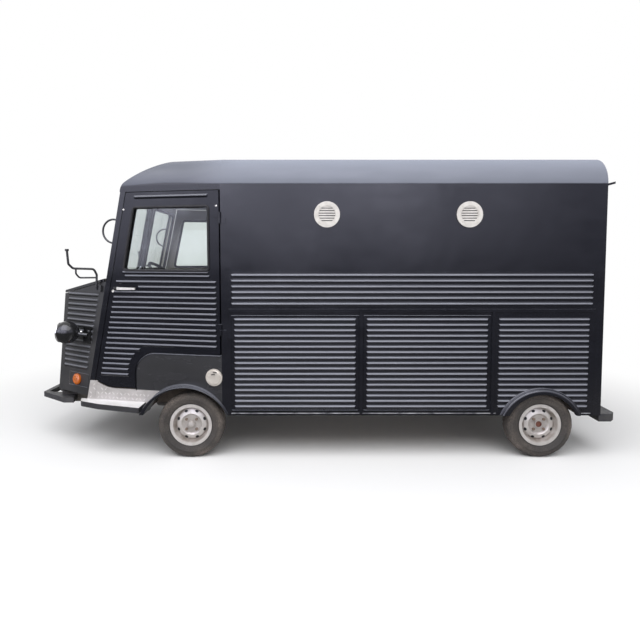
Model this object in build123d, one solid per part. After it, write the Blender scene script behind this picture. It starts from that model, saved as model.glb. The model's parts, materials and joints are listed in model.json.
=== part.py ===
from build123d import *
import math
import os

os.makedirs("parts", exist_ok=True)

# Whole truck, all sizes in mm; X runs forward, Y to the driver's side, Z up from the ground
overall_length = 5000.0
body_half_width = 940.0
wall = 40.0
sill_z = 360.0
wall_top_z = 2230.0
lid_gap = 6.0

# Lengths along the truck
rear_bumper_reach = 155.0
front_bumper_reach = 205.0
nose_and_cab_length = 1560.0
front_axle_ahead_of_pillar = 265.0
rear_axle_ahead_of_wall = 477.0
front_x = overall_length / 2
rear_wall_x = rear_bumper_reach - front_x
nose_toe_x = front_x - front_bumper_reach
pillar_x = nose_toe_x - nose_and_cab_length
front_axle_x = pillar_x + front_axle_ahead_of_pillar
rear_axle_x = rear_wall_x + rear_axle_ahead_of_wall

# Roof
roof_rise = 280.0
cab_roof_rise = 250.0
roof_corner = 225.0
roof_skin = 30.0
roof_skirt = 45.0
visor_overhang = 4.0
visor_radius = 100.0
brow_rise = 285.0
skirt_z = wall_top_z - roof_skirt
ledge_reach = 105.0
ledge_height = 18.0
ledge_rise = 28.0

# Cab sides and windscreen frame
cab_taper = math.radians(11.5)
screen_rake = math.radians(11.36)
screen_foot_setback = 355.0
screen_frame = 45.0
pane_bottom_z = 1525.0
pane_top_z = 2125.0
pane_gap_half = 28.0
pane_side_margin = 75.0
pane_corner = 45.0
glass = 5.0

# Nose and bonnet
nose_bottom_z = 460.0
nose_narrowing = 460.0
nose_half_width = body_half_width - nose_narrowing
nose_lean = math.radians(4.4)
nose_skin = 25.0
bonnet_rear_z = 1472.0
bonnet_front_z = 1352.0
bonnet = 22.0
bonnet_rear_gap = 26.0
grille_side = 150.0
grille_half_width = nose_half_width - grille_side
grille_bottom_z = 640.0
grille_top_z = 1250.0
grille_bar = 20.0
grille_bar_count = 10

# Cab doors
door = 36.0
door_top_z = skirt_z - lid_gap
door_bottom_rear_z = 545.0
door_bottom_front_z = 605.0
arch_panel = 32.0
arch_panel_length = 755.0
arch_panel_top_z = 850.0
arch_panel_corner = 180.0
door_foot_curve = 190.0
window_rear_margin = 100.0
window_front_inset = 140.0
window_bottom_z = 1538.0
window_top_z = 2055.0
window_corner = 25.0

# Rear doors and serving hatch
rear_door_side = 300.0
rear_door_half_width = body_half_width - rear_door_side
rear_door_bottom_z = 480.0
rear_door_top_z = 2120.0
hatch_behind_pillar = 255.0
hatch_ahead_of_wall = 565.0
hatch_front_x = pillar_x - hatch_behind_pillar
hatch_rear_x = rear_wall_x + hatch_ahead_of_wall
hatch_bottom_z = 1240.0
hatch_top_z = 2110.0

# Pressed beads
bead_width = 39.0
bead_height = 9.0
bead_sink = 1.0
bead_pitch = 44.4
sheet = 3.0
strip = 6.0
rail_strip = 10.0

# Wheels and axles
hub_z = 270.0
tyre_radius = 270.0
tyre_width = 155.0
wheel_inset = 90.0
wheel_y = body_half_width - wheel_inset
rim_flange_radius = 172.0
rim_seat_radius = 152.0
rim_well_radius = 132.0
rim_half_width = 62.0
rim_sheet = 5.0
disc_out = 26.0
lug_circle = 58.0
rim_slot_circle = 116.0
spindle_radius = 20.0
fit = 0.3
drum_radius = 108.0
drum_length = 76.0
kingpin_inset = 110.0
kingpin_y = wheel_y - kingpin_inset
kingpin_radius = 11.0
steer_arm = 140.0
tie_rod_z = 195.0
front_arch_radius = 370.0
front_arch_x = front_axle_x + 32.0
front_arch_z = hub_z - 48.0
front_flare_radius = 403.0
front_flare_x = front_axle_x + 47.0
front_flare_z = hub_z - 69.0
rear_arch_radius = 300.0
rear_flare_radius = 363.0
rear_flare_x = rear_axle_x + 13.0
rear_flare_z = hub_z - 43.0
rear_lip_z = hub_z - 34.0
flare_step = 18.0
flare_reach = 35.0
flare_out = body_half_width + flare_reach
house_gap = 12.0
house_sheet = 8.0
front_house_depth = 298.0
rear_house_depth = 210.0
front_house_y = wheel_y - front_house_depth
rear_house_y = wheel_y - rear_house_depth
front_house_radius = front_arch_radius + house_gap + house_sheet
front_house_top_z = front_arch_z + front_house_radius

# Frame and floors
rail_inset = 540.0
rail_y = body_half_width - rail_inset
rail_width = 60.0
rail_bottom_z = 330.0
floor_z = 430.0
floor = 40.0
cab_floor_z = 500.0
cab_floor = 30.0
cab_foot_x = front_axle_x + 350.0

# Hinges
pin_radius = 5.0
barrel_radius = 10.0
barrel_length = 45.0
pin_standoff = 12.0
leaf_length = 46.0
leaf = 6.0


# Blocks and prisms
def block(x0, x1, y0, y1, z0, z1):
    return Pos((x0 + x1) / 2, (y0 + y1) / 2, (z0 + z1) / 2) * Box(x1 - x0, y1 - y0, z1 - z0)


def prism_xz(points, y0, y1):
    face = make_face(Polyline(*[(x, y0, z) for x, z in points], close=True))
    return extrude(face, amount=y1 - y0, dir=(0, 1, 0))


def prism_xy(points, z0, z1):
    face = make_face(Polyline(*[(x, y, z0) for x, y in points], close=True))
    return extrude(face, amount=z1 - z0, dir=(0, 0, 1))


def drum_y(x, z, radius, y0, y1):
    return Pos(x, (y0 + y1) / 2, z) * Rot(90, 0, 0) * Cylinder(radius, y1 - y0)


def rod(start, end, radius):
    run = Vector(*end) - Vector(*start)
    return Plane(origin=start, z_dir=run) * Cylinder(
        radius, run.length, align=(Align.CENTER, Align.CENTER, Align.MIN)
    )


def opposite(shape):
    return mirror(shape, about=Plane.XZ)


def solids_of(*shapes):
    return [solid for shape in shapes for solid in shape.solids()]


def save(node, *shapes):
    export_step(Compound(children=solids_of(*shapes)), f"parts/{node}.step")


# Faces of the cab and nose
def cab_y(x, inset=0.0):
    return body_half_width - (x - pillar_x) * math.tan(cab_taper) - inset / math.cos(cab_taper)


def screen_x(z, inset=0.0):
    foot_x = nose_toe_x - screen_foot_setback
    return foot_x - (z - nose_bottom_z) * math.tan(screen_rake) - inset / math.cos(screen_rake)


def nose_x(z, inset=0.0):
    return nose_toe_x - (z - nose_bottom_z) * math.tan(nose_lean) - inset / math.cos(nose_lean)


nose_root_x = screen_x(nose_bottom_z)
nose_root_y = cab_y(nose_root_x)
nose_slope_x = (nose_half_width - nose_root_y) / (nose_toe_x - nose_root_x)
nose_crest_x = screen_x(bonnet_rear_z)
nose_slope_z = (cab_y(nose_crest_x) - nose_root_y - nose_slope_x * (nose_crest_x - nose_root_x)) / (
    bonnet_rear_z - nose_bottom_z
)
nose_normal = Vector(-nose_slope_x, 1, -nose_slope_z).normalized()
cab_normal = Vector(math.sin(cab_taper), math.cos(cab_taper), 0)
cab_back = Vector(-math.cos(cab_taper), math.sin(cab_taper), 0)
screen_normal = Vector(math.cos(screen_rake), 0, math.sin(screen_rake))


def nose_y(x, z, inset=0.0):
    y = nose_root_y + nose_slope_x * (x - nose_root_x) + nose_slope_z * (z - nose_bottom_z)
    return y - inset / nose_normal.Y


def bonnet_z(x):
    fall = (bonnet_front_z - bonnet_rear_z) / (nose_x(bonnet_front_z) - nose_crest_x)
    return bonnet_rear_z + (x - nose_crest_x) * fall


def on_cab(x, z, out=0.0):
    return Vector(x, cab_y(x), z) + cab_normal * out


def cab_prism(points, out0, out1):
    face = make_face(Polyline(*[on_cab(x, z, out0) for x, z in points], close=True))
    return extrude(face, amount=out1 - out0, dir=cab_normal)


def screen_prism(points, depth0, depth1):
    face = make_face(Polyline(*[(screen_x(z), y, z) for y, z in points], close=True))
    return extrude(Pos(screen_normal * -depth0) * face, amount=depth1 - depth0, dir=screen_normal * -1)


def rounded(prism, along, radius):
    edges = prism.edges().filter_by(lambda edge: abs((edge % 0.5).dot(along)) > 0.999)
    return fillet(edges, radius)


def polyhedron(low, high):
    count = len(low)
    sides = [
        make_face(Polyline(low[i], low[(i + 1) % count], high[(i + 1) % count], high[i], close=True))
        for i in range(count)
    ]
    ends = [make_face(Polyline(*ring, close=True)) for ring in (low, high)]
    return Solid(Shell([shape.faces()[0] for shape in sides + ends]))


# Plan of the cab, set in from its sides
def cab_core(inset, z0, z1):
    x1 = nose_toe_x
    y0, y1 = cab_y(pillar_x, inset), cab_y(x1, inset)
    return prism_xy([(pillar_x, -y0), (x1, -y1), (x1, y1), (pillar_x, y0)], z0, z1)


# Pressed bead along local X, standing up along local Z, with mitred ends
def bead(length):
    half, top = bead_width / 2, bead_height
    mitre = top + bead_sink
    radius = (half**2 + mitre**2) / (4 * mitre)
    lean = math.atan(mitre / half)
    foot = (half - radius * math.sin(lean), radius * (1 - math.cos(lean)) - bead_sink)
    bend = (half / 2, mitre / 2 - bead_sink)
    lines = [
        ThreePointArc((0, -half, -bead_sink), (0, -foot[0], foot[1]), (0, -bend[0], bend[1])),
        ThreePointArc((0, -bend[0], bend[1]), (0, 0, top), (0, bend[0], bend[1])),
        ThreePointArc((0, bend[0], bend[1]), (0, foot[0], foot[1]), (0, half, -bead_sink)),
        Line((0, half, -bead_sink), (0, -half, -bead_sink)),
    ]
    bar = extrude(make_face(lines), amount=length, dir=(1, 0, 0))
    ends = [(0, -bead_sink), (length, -bead_sink), (length - mitre, top), (mitre, top)]
    return bar & prism_xz(ends, -bead_width, bead_width)


def bead_at(start, along, normal, length):
    return Plane(origin=start, x_dir=along, z_dir=normal) * bead(length)


# Beads of the driver's side wall, from x0 back to x1
def wall_beads(x0, x1, heights, out):
    return [bead_at((x0, out, z), (-1, 0, 0), (0, 1, 0), x0 - x1) for z in heights]


# One hinge: the pin half stays, the eye half goes with the panel
def hinge(at, axis, from_wall, to_panel):
    stay = Plane(origin=at, x_dir=from_wall, z_dir=axis)
    turn = Plane(origin=at, x_dir=to_panel, z_dir=axis)
    low = (Align.CENTER, Align.CENTER, Align.MAX)
    high = (Align.CENTER, Align.CENTER, Align.MIN)
    fixed = Cylinder(barrel_radius, barrel_length, align=low)
    fixed += Cylinder(pin_radius, barrel_length, align=high)
    fixed += block(-leaf_length, 0, -pin_standoff, leaf - pin_standoff, -barrel_length, 0)
    eye = Cylinder(barrel_radius, barrel_length, align=high)
    eye += block(0, leaf_length, -pin_standoff - 2, leaf - pin_standoff, 0, barrel_length)
    eye -= Cylinder(pin_radius + fit, 3 * barrel_length)
    return stay * fixed, turn * Pos(0, 0, 1) * eye


# Roof: one arch section, its extrusion over the load space and its loft over the cab
def arch_section(x, half, low_z, edge_z, rise, corner):
    reach = half - corner
    crown = (reach**2 + rise**2 - corner**2) / (2 * (rise - corner))
    lean = math.atan2(reach, crown - rise)
    touch = (reach + corner * math.sin(lean), edge_z + corner * math.cos(lean))
    mid = (math.pi / 2 + lean) / 2
    bend = (reach + corner * math.sin(mid), edge_z + corner * math.cos(mid))
    top = edge_z + rise
    skirts = [(x, -half, low_z), (x, half, low_z)]
    if low_z < edge_z:
        skirts = [(x, -half, edge_z), *skirts, (x, half, edge_z)]
    edges = [
        Polyline(*skirts),
        ThreePointArc((x, half, edge_z), (x, bend[0], bend[1]), (x, touch[0], touch[1])),
        ThreePointArc((x, touch[0], touch[1]), (x, 0, top), (x, -touch[0], touch[1])),
        ThreePointArc((x, -touch[0], touch[1]), (x, -bend[0], bend[1]), (x, -half, edge_z)),
    ]
    return make_face(edges)


def roof_solid(inset, low_z, cargo_low_z, back_x):
    visor_x = screen_x(skirt_z) + visor_overhang - inset
    corner = roof_corner - inset
    rear = arch_section(
        back_x, body_half_width - inset, cargo_low_z, wall_top_z, roof_rise - inset, corner
    )
    cargo = extrude(rear, amount=pillar_x - back_x, dir=(1, 0, 0))
    stations = ((pillar_x, roof_rise), (visor_x, cab_roof_rise))
    cab = loft(
        [
            arch_section(x, cab_y(x, inset), low_z, wall_top_z, rise - inset, corner)
            for x, rise in stations
        ],
        ruled=True,
    )
    return cargo + (cab & visor_profile(inset, low_z - wall))


# Side view of the cab roof: a short visor arc running into a long brow arc, level at the pillar
def visor_profile(inset, low_z):
    front = screen_x(skirt_z) + visor_overhang
    run, rise = front - visor_radius - pillar_x, wall_top_z + brow_rise - skirt_z
    brow_radius = (run**2 + rise**2 - visor_radius**2) / (2 * (rise - visor_radius))
    knee = math.atan2(brow_radius - rise, run)
    visor = (front - visor_radius, skirt_z, visor_radius - inset)
    brow = (pillar_x, skirt_z + rise - brow_radius, brow_radius - inset)

    def at(centre, angle):
        x, z, radius = centre
        return (x + radius * math.cos(angle), -body_half_width, z + radius * math.sin(angle))

    toe, bend, crown = at(visor, 0), at(visor, knee), at(brow, math.pi / 2)
    y = -body_half_width
    edges = [
        ThreePointArc(toe, at(visor, knee / 2), bend),
        ThreePointArc(bend, at(brow, knee / 2 + math.pi / 4), crown),
        Polyline(crown, (pillar_x, y, low_z), (toe[0], y, low_z), toe),
    ]
    return extrude(make_face(edges), amount=2 * body_half_width, dir=(0, 1, 0))


def make_roof():
    outer = roof_solid(0, skirt_z, wall_top_z, rear_wall_x)
    inner = roof_solid(roof_skin, skirt_z - wall, wall_top_z - wall, rear_wall_x + wall)
    return outer - inner


# Side walls
def front_arch(grow, y0, y1):
    return drum_y(front_arch_x, front_arch_z, front_arch_radius + grow, y0, y1)


def front_flare(y0, y1):
    return drum_y(front_flare_x, front_flare_z, front_flare_radius, y0, y1)


def rear_flare(shrink, y0, y1):
    return drum_y(rear_flare_x, rear_flare_z, rear_flare_radius - shrink, y0, y1)


def arch_cut():
    reach = 2 * body_half_width
    return front_arch(0, 0, reach) + drum_y(rear_axle_x, hub_z, rear_arch_radius, 0, reach)


def flare_cut():
    reach = 2 * body_half_width
    return front_flare(0, reach) + rear_flare(0, 0, reach)


def make_side_wall():
    side = block(rear_wall_x, pillar_x, body_half_width - wall, body_half_width, sill_z, wall_top_z)
    return side - arch_cut()


def make_hatch_side():
    y = body_half_width
    hole = block(hatch_rear_x, hatch_front_x, y - 2 * wall, y + wall, hatch_bottom_z, hatch_top_z)
    return opposite(make_side_wall() - hole)


# Corrugated panels: columns are the front and back ends of the beads
panel_front_x = pillar_x - 60.0
panel_rear_x = rear_wall_x + 70.0
panel_top_z = 1532.0
rail_z = 1219.0
divider_shares = (0.362, 0.723)
divider_x = [panel_front_x + (panel_rear_x - panel_front_x) * share for share in divider_shares]
low_bead_z = 429.0
low_bead_count = 17
high_bead_z = 1266.0
high_bead_pitch = 46.2
high_bead_count = 6
bead_margin = 42.0
low_heights = [low_bead_z + bead_pitch * i for i in range(low_bead_count)]
high_heights = [high_bead_z + high_bead_pitch * i for i in range(high_bead_count)]
bay_ends = (panel_front_x, *divider_x, panel_rear_x)


def make_side_panel(with_band):
    y = body_half_width
    top_z = panel_top_z if with_band else rail_z + strip * 2
    skin = block(panel_rear_x, panel_front_x, y, y + sheet, sill_z + strip, top_z)
    pieces = [block(panel_rear_x, panel_front_x, y, y + rail_strip, rail_z - 12, rail_z + 12)]
    pieces += [block(x - 12, x + 12, y, y + rail_strip, sill_z + strip, rail_z) for x in divider_x]
    for front, back in zip(bay_ends, bay_ends[1:]):
        pieces += wall_beads(front - bead_margin, back + bead_margin, low_heights, y + sheet)
    if with_band:
        ends = (panel_front_x - bead_margin / 2, panel_rear_x + bead_margin / 2)
        pieces += wall_beads(*ends, high_heights, y + sheet)
    return (skin + pieces) - flare_cut()


# Rear wall with the doorway, and the rain ledge over it
def make_rear_wall():
    inner = body_half_width - wall
    plate = block(rear_wall_x, rear_wall_x + wall, -inner, inner, sill_z, wall_top_z)
    half, gap = rear_door_half_width + lid_gap, lid_gap
    low, high = rear_door_bottom_z - gap, rear_door_top_z + gap
    return plate - block(rear_wall_x - wall, rear_wall_x + 2 * wall, -half, half, low, high)


def make_rain_ledge():
    half = body_half_width - 2 * wall
    x = rear_wall_x
    return prism_xz(
        [
            (x, wall_top_z - ledge_height),
            (x, wall_top_z),
            (x - ledge_reach, wall_top_z + ledge_rise),
            (x - ledge_reach, wall_top_z + ledge_rise - ledge_height),
        ],
        -half,
        half,
    )


hinge_heights = (620.0, 1300.0, 1980.0)


def rear_hinges():
    at_y = rear_door_half_width + lid_gap / 2
    return [
        hinge((rear_wall_x - pin_standoff, at_y, z), (0, 0, -1), (0, -1, 0), (0, -1, 0))
        for z in hinge_heights
    ]


def make_rear_door():
    x = rear_wall_x
    half = rear_door_half_width
    leaf_panel = block(x, x + door, lid_gap / 2, half, rear_door_bottom_z, rear_door_top_z)
    pieces = [moving for fixed, moving in rear_hinges()]
    heights = [z for z in low_heights if z > rear_door_bottom_z + bead_width] + high_heights
    length = half - 2 * bead_margin - leaf_length
    start = half - bead_margin - leaf_length
    pieces += [bead_at((x, start, z), (0, -1, 0), (-1, 0, 0), length) for z in heights]
    return leaf_panel + pieces


# Serving hatch on the far side, hinged along its top edge
hatch_hinge_shares = (0.146, 0.5, 0.854)
hatch_hinge_x = [hatch_front_x + (hatch_rear_x - hatch_front_x) * share for share in hatch_hinge_shares]


def hatch_hinges():
    y = -(body_half_width + pin_standoff)
    z = hatch_top_z - lid_gap / 2
    return [hinge((x, y, z), (-1, 0, 0), (0, 0, -1), (0, 0, -1)) for x in hatch_hinge_x]


def make_hatch():
    y, gap = body_half_width, lid_gap
    x0, x1 = hatch_rear_x + gap, hatch_front_x - gap
    lid = block(x0, x1, y - door, y, hatch_bottom_z + gap, hatch_top_z - gap)
    lid += wall_beads(x1 - bead_margin, x0 + bead_margin, high_heights[1:], y)
    return opposite(lid) + [moving for fixed, moving in hatch_hinges()]


# Cab front: windscreen frame and firewall in one sheet
def pane_outline(side):
    low, high = pane_bottom_z, pane_top_z
    low_y = cab_y(screen_x(low)) - pane_side_margin
    high_y = cab_y(screen_x(high)) - pane_side_margin
    ring = [(pane_gap_half, low), (low_y, low), (high_y, high), (pane_gap_half, high)]
    return [(side * y, z) for y, z in ring]


def pane_cut(side, depth0, depth1):
    return rounded(screen_prism(pane_outline(side), depth0, depth1), screen_normal, pane_corner)


def screen_slab(depth):
    reach, low, high = body_half_width, nose_bottom_z - wall, skirt_z + wall
    return screen_prism([(-reach, low), (reach, low), (reach, high), (-reach, high)], 0, depth)


def make_cab_front():
    plate = screen_slab(screen_frame) & cab_core(0, nose_bottom_z, skirt_z)
    return plate - [pane_cut(side, -wall, 2 * screen_frame) for side in (1, -1)]


def make_windscreen():
    mid = screen_frame / 2
    return [pane_cut(side, mid, mid + glass) for side in (1, -1)]


# Nose shell, grille and bonnet
def nose_block(inset, z0, z1, back):
    rings = []
    for z in (z0, z1):
        rear_x, front = screen_x(z) - back, nose_x(z, inset)
        rear_y, front_y = nose_y(rear_x, z, inset), nose_y(front, z, inset)
        rings.append([(rear_x, -rear_y, z), (front, -front_y, z), (front, front_y, z), (rear_x, rear_y, z)])
    return polyhedron(*rings)


def above_bonnet(drop, back_x):
    x0, x1 = back_x, front_x
    z0, z1 = bonnet_z(x0) - drop, bonnet_z(x1) - drop
    high = bonnet_rear_z + 4 * wall
    reach = body_half_width
    return prism_xz([(x0, z0), (x1, z1), (x1, high), (x0, high)], -reach, reach)


nose_bead_z = 688.0
nose_bead_pitch = 45.2
nose_bead_count = 15
nose_bead_margin = 48.0


def nose_beads():
    pieces = []
    for i in range(nose_bead_count):
        z = nose_bead_z + nose_bead_pitch * i
        rear, front = screen_x(z) + nose_bead_margin, nose_x(z) - nose_bead_margin
        start = (front, nose_y(front, z), z)
        run = Vector(rear - front, nose_y(rear, z) - nose_y(front, z), 0)
        pieces.append(bead_at(start, run, nose_normal, run.length))
    return pieces


def make_nose():
    z1 = bonnet_rear_z + wall
    shell = nose_block(0, nose_bottom_z, z1, 0)
    shell -= nose_block(nose_skin, nose_bottom_z - wall, z1 + wall, wall)
    shell -= above_bonnet(bonnet + lid_gap, pillar_x)
    half = grille_half_width
    shell -= block(nose_x(z1) - 3 * wall, front_x, -half, half, grille_bottom_z, grille_top_z)
    beads = nose_beads()
    return shell + beads + [opposite(piece) for piece in beads]


def make_grille():
    half, z0, z1 = grille_half_width, grille_bottom_z, grille_top_z
    bar, deep = grille_bar, nose_skin
    slab = prism_xz(
        [(nose_x(z0, deep), z0), (nose_x(z0), z0), (nose_x(z1), z1), (nose_x(z1, deep), z1)], -half, half
    )
    pitch = (z1 - z0 - bar) / grille_bar_count
    slot = pitch - bar
    for i in range(grille_bar_count):
        low = z0 + bar + pitch * i
        slab -= block(nose_x(z1) - 3 * wall, front_x, bar - half, half - bar, low, low + slot)
    return slab


bonnet_hinge_y = nose_half_width - 60.0
bonnet_edge_x = nose_crest_x + bonnet_rear_gap


def bonnet_hinges():
    x = bonnet_edge_x - lid_gap
    z = bonnet_z(bonnet_edge_x) + pin_standoff
    fall = Vector(1, 0, bonnet_z(1) - bonnet_z(0))
    return [hinge((x, y, z), (0, -1, 0), (1, 0, 0), fall) for y in (bonnet_hinge_y, -bonnet_hinge_y)]


def make_bonnet():
    z0, z1 = bonnet_front_z - 2 * wall, bonnet_rear_z + wall
    lid = nose_block(0, z0, z1, 0) & above_bonnet(bonnet, bonnet_edge_x)
    lid -= above_bonnet(0, pillar_x)
    return lid + [moving for fixed, moving in bonnet_hinges()]


# Cab doors
def arch_panel_front_x():
    return pillar_x + arch_panel_length


def corner_arc(grow, out):
    x, z = arch_panel_front_x() - arch_panel_corner, arch_panel_top_z - arch_panel_corner
    radius = arch_panel_corner + grow
    half = radius * math.sqrt(0.5)
    return ThreePointArc(
        on_cab(x, z + radius, out), on_cab(x + half, z + half, out), on_cab(x + radius, z, out)
    )


# Upswept front end of the door's foot
def foot_arc(drop, out):
    low, high = door_bottom_rear_z - drop, door_bottom_front_z - drop
    run, rise = door_foot_curve, high - low
    x0 = screen_x(high, screen_frame + lid_gap) - run
    radius = (run**2 + rise**2) / (2 * rise)
    half = math.asin(run / radius) / 2
    mid = on_cab(x0 + radius * math.sin(half), low + radius * (1 - math.cos(half)), out)
    return ThreePointArc(on_cab(x0, low, out), mid, on_cab(x0 + run, high, out))


def door_body():
    gap = lid_gap
    rear, low = pillar_x + gap + door * math.sin(cab_taper), arch_panel_front_x() + gap
    line = [
        (screen_x(door_top_z, screen_frame + gap), door_top_z),
        (rear, door_top_z),
        (rear, arch_panel_top_z + gap),
    ]
    arc, foot = corner_arc(gap, -door), foot_arc(0, -door)
    sill = Polyline(arc @ 1, on_cab(low, door_bottom_rear_z, -door), foot @ 0)
    ring = Polyline(foot @ 1, *[on_cab(x, z, -door) for x, z in line], arc @ 0)
    return extrude(make_face([arc, sill, foot, ring]), amount=door, dir=cab_normal)


def window_cut(out0, out1):
    inset = window_front_inset
    rear = pillar_x + window_rear_margin
    ring = [
        (rear, window_bottom_z),
        (screen_x(window_bottom_z, inset), window_bottom_z),
        (screen_x(window_top_z, inset), window_top_z),
        (rear, window_top_z),
    ]
    return rounded(cab_prism(ring, out0, out1), cab_normal, window_corner)


door_bead_z = 1439.0
door_bead_pitch = 43.7
door_bead_count = 13
door_bead_rear = 37.0
door_bead_front_inset = 90.0
door_foot_count = 6
door_foot_radius = 240.0
handle_bead = 1
handle_bead_inset = 293.0
# Columns are Z, the set-in from the screen and the set-in from the pillar
window_bead_rows = ((2138.0, 129.0, 101.0), (1518.0, 134.0, 99.0), (1487.0, 160.0, 92.0))


def door_bead(z, front_inset, rear):
    front = screen_x(z, front_inset)
    return bead_at(on_cab(front, z), cab_back, cab_normal, (front - rear) / math.cos(cab_taper))


def door_beads():
    pieces = [door_bead(z, inset, pillar_x + margin) for z, inset, margin in window_bead_rows]
    for i in range(door_bead_count + door_foot_count):
        z = door_bead_z - door_bead_pitch * i
        rear = pillar_x + door_bead_rear
        if i >= door_bead_count:
            rise = max(z - arch_panel_top_z + arch_panel_corner, 0)
            rear = arch_panel_front_x() - arch_panel_corner
            rear += math.sqrt(door_foot_radius**2 - rise**2)
        inset = handle_bead_inset if i == handle_bead else door_bead_front_inset
        pieces.append(door_bead(z, inset, rear))
    return pieces


def cab_hinges():
    at = (pillar_x + lid_gap / 2, body_half_width + pin_standoff)
    return [hinge((*at, z), (0, 0, 1), (1, 0, 0), cab_back * -1) for z in (1061.0, 1960.0)]


def make_door():
    moving = [eye for pin, eye in cab_hinges()]
    return (door_body() - window_cut(-2 * door, door)) + (door_beads() + moving)


handle_z = 1386.0
handle_length = 172.0
handle_front_inset = 72.0


def make_handle():
    front = screen_x(handle_z, screen_frame + handle_front_inset)
    post = Plane(origin=on_cab(front, handle_z), z_dir=cab_normal) * Cylinder(
        12, 30, align=(Align.CENTER, Align.CENTER, Align.MIN)
    )
    rear = front - handle_length
    line = [(front + 14, handle_z - 11), (rear, handle_z - 8), (rear, handle_z + 8), (front + 14, handle_z + 11)]
    bar = cab_prism(line, 24, 36)
    return post + bar


# Fixed panel under and behind each door, over the front wheel
def make_arch_panel():
    x0, x1, out = pillar_x - wall, arch_panel_front_x(), -arch_panel
    arc = corner_arc(0, out)
    line = [(x1, sill_z), (x0, sill_z), (x0, arch_panel_top_z)]
    ring = Polyline(arc @ 1, *[on_cab(x, z, out) for x, z in line], arc @ 0)
    panel = extrude(make_face([arc, ring]), amount=arch_panel, dir=cab_normal)
    reach = 2 * body_half_width
    panel -= block(pillar_x - 3 * wall, pillar_x, 0, reach, 0, reach)
    return panel - arch_cut() - kick_region(sill_z - wall, -2 * arch_panel, arch_panel)


def make_front_flare():
    x, reach = front_flare_x, body_half_width
    ring = front_flare(0, flare_out) - front_arch(0, 0, reach * 2)
    ring -= block(x - reach, x + reach, 0, reach * 2, -reach, sill_z + 2 * strip)
    ring -= cab_core(0, 0, wall_top_z)
    return ring - block(x - reach, pillar_x, 0, reach, 0, wall_top_z)


def make_rear_flare():
    x, y = rear_flare_x, body_half_width
    ring = rear_flare(0, y, flare_out - flare_step) + rear_flare(flare_step, y, flare_out)
    ring -= drum_y(rear_axle_x, rear_lip_z, rear_arch_radius, 0, y * 2)
    return ring - block(x - y, x + y, 0, y * 2, -y, sill_z + strip)


# Wheel houses
def make_front_house():
    x, y0, reach, wide = front_arch_x, front_house_y, body_half_width, front_house_radius
    house = front_arch(house_gap + house_sheet, y0, reach)
    house += block(x - wide, cab_foot_x, y0, y0 + house_sheet, sill_z, front_house_top_z)
    house -= front_arch(house_gap, y0 + house_sheet, 2 * reach)
    house -= block(x - reach, x + reach, 0, 2 * reach, -reach, sill_z)
    cab_side = house & cab_core(arch_panel, 0, wall_top_z)
    return cab_side + (house & block(x - reach, pillar_x, 0, reach - wall, 0, wall_top_z))


def make_rear_house():
    radius = rear_arch_radius + house_gap
    outer, y0, y1 = radius + house_sheet, rear_house_y, body_half_width - wall
    x = rear_axle_x
    house = drum_y(x, hub_z, outer, y0, y1) - drum_y(x, hub_z, radius, y0 + house_sheet, y1 + wall)
    return house - block(x - y1, x + y1, 0, 2 * y1, -y1, sill_z)


# Floors
def make_load_floor():
    y = body_half_width - wall
    plate = block(rear_wall_x + wall, pillar_x, -y, y, floor_z, floor_z + floor)
    rear = rear_arch_radius + house_gap + house_sheet
    for side in (1, -1):
        y0, y1 = sorted((side * rear_house_y, side * 2 * y))
        plate -= drum_y(rear_axle_x, hub_z, rear, y0, y1)
        y0, y1 = sorted((side * front_house_y, side * 2 * y))
        plate -= block(front_arch_x - front_house_radius, cab_foot_x, y0, y1, 0, wall_top_z)
    return plate


def make_cab_floor():
    seat_z, foot_x, thick = front_house_top_z, cab_foot_x, cab_floor
    x0, x1 = pillar_x, screen_x(cab_floor_z + thick, screen_frame)
    line = [
        (x0, floor_z),
        (x0, seat_z + thick),
        (foot_x + thick, seat_z + thick),
        (foot_x + thick, cab_floor_z + thick),
        (x1, cab_floor_z + thick),
        (x1, cab_floor_z),
        (foot_x, cab_floor_z),
        (foot_x, seat_z),
        (x0 + thick, seat_z),
        (x0 + thick, floor_z),
    ]
    reach = body_half_width
    plate = prism_xz(line, -reach, reach) & cab_core(door + 10, 0, wall_top_z)
    for side in (1, -1):
        y0, y1 = sorted((side * front_house_y, side * 2 * reach))
        plate -= front_arch(house_gap + house_sheet, y0, y1)
        plate -= block(0, x0 + 2 * thick, y0, y1, 0, seat_z)
    return plate


# Cross members: columns are X from, X to, half length in Y, Z from, Z to
between_rails = rail_y - rail_width / 2
member_rows = (
    (rear_wall_x + 40, rear_wall_x + 100, between_rails, floor_z - 40, floor_z - 5),
    (rear_axle_x + 560, rear_axle_x + 620, between_rails, floor_z - 40, floor_z - 5),
    (pillar_x - 560, pillar_x - 500, between_rails, floor_z - 40, floor_z - 5),
    (pillar_x + 200, pillar_x + 260, between_rails, rail_bottom_z, rail_bottom_z + 30),
    (front_axle_x + 410, front_axle_x + 470, 0.66 * body_half_width, floor_z, cab_floor_z),
    (nose_root_x - 60, nose_root_x, 0.7 * body_half_width, floor_z, nose_bottom_z),
    (nose_toe_x - 50, nose_toe_x, 0.48 * body_half_width, floor_z, nose_bottom_z),
)
step_z = 430.0
step = 45.0
kick_plate = 12.0
kick_flap = 2.0
step_corner = 70.0
outrigger_x = (front_axle_x + 490, front_axle_x + 790)
outrigger_inset = 50.0
jack_pad = 120.0
jack_pad_drop = 12.0
jack_pad_x = (pillar_x - 300, rear_axle_x + 700)
front_bumper_z = 355.0
front_bumper = 45.0
rear_bumper_z = 296.0
rear_bumper = 64.0
rear_bumper_gap = 10.0


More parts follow.
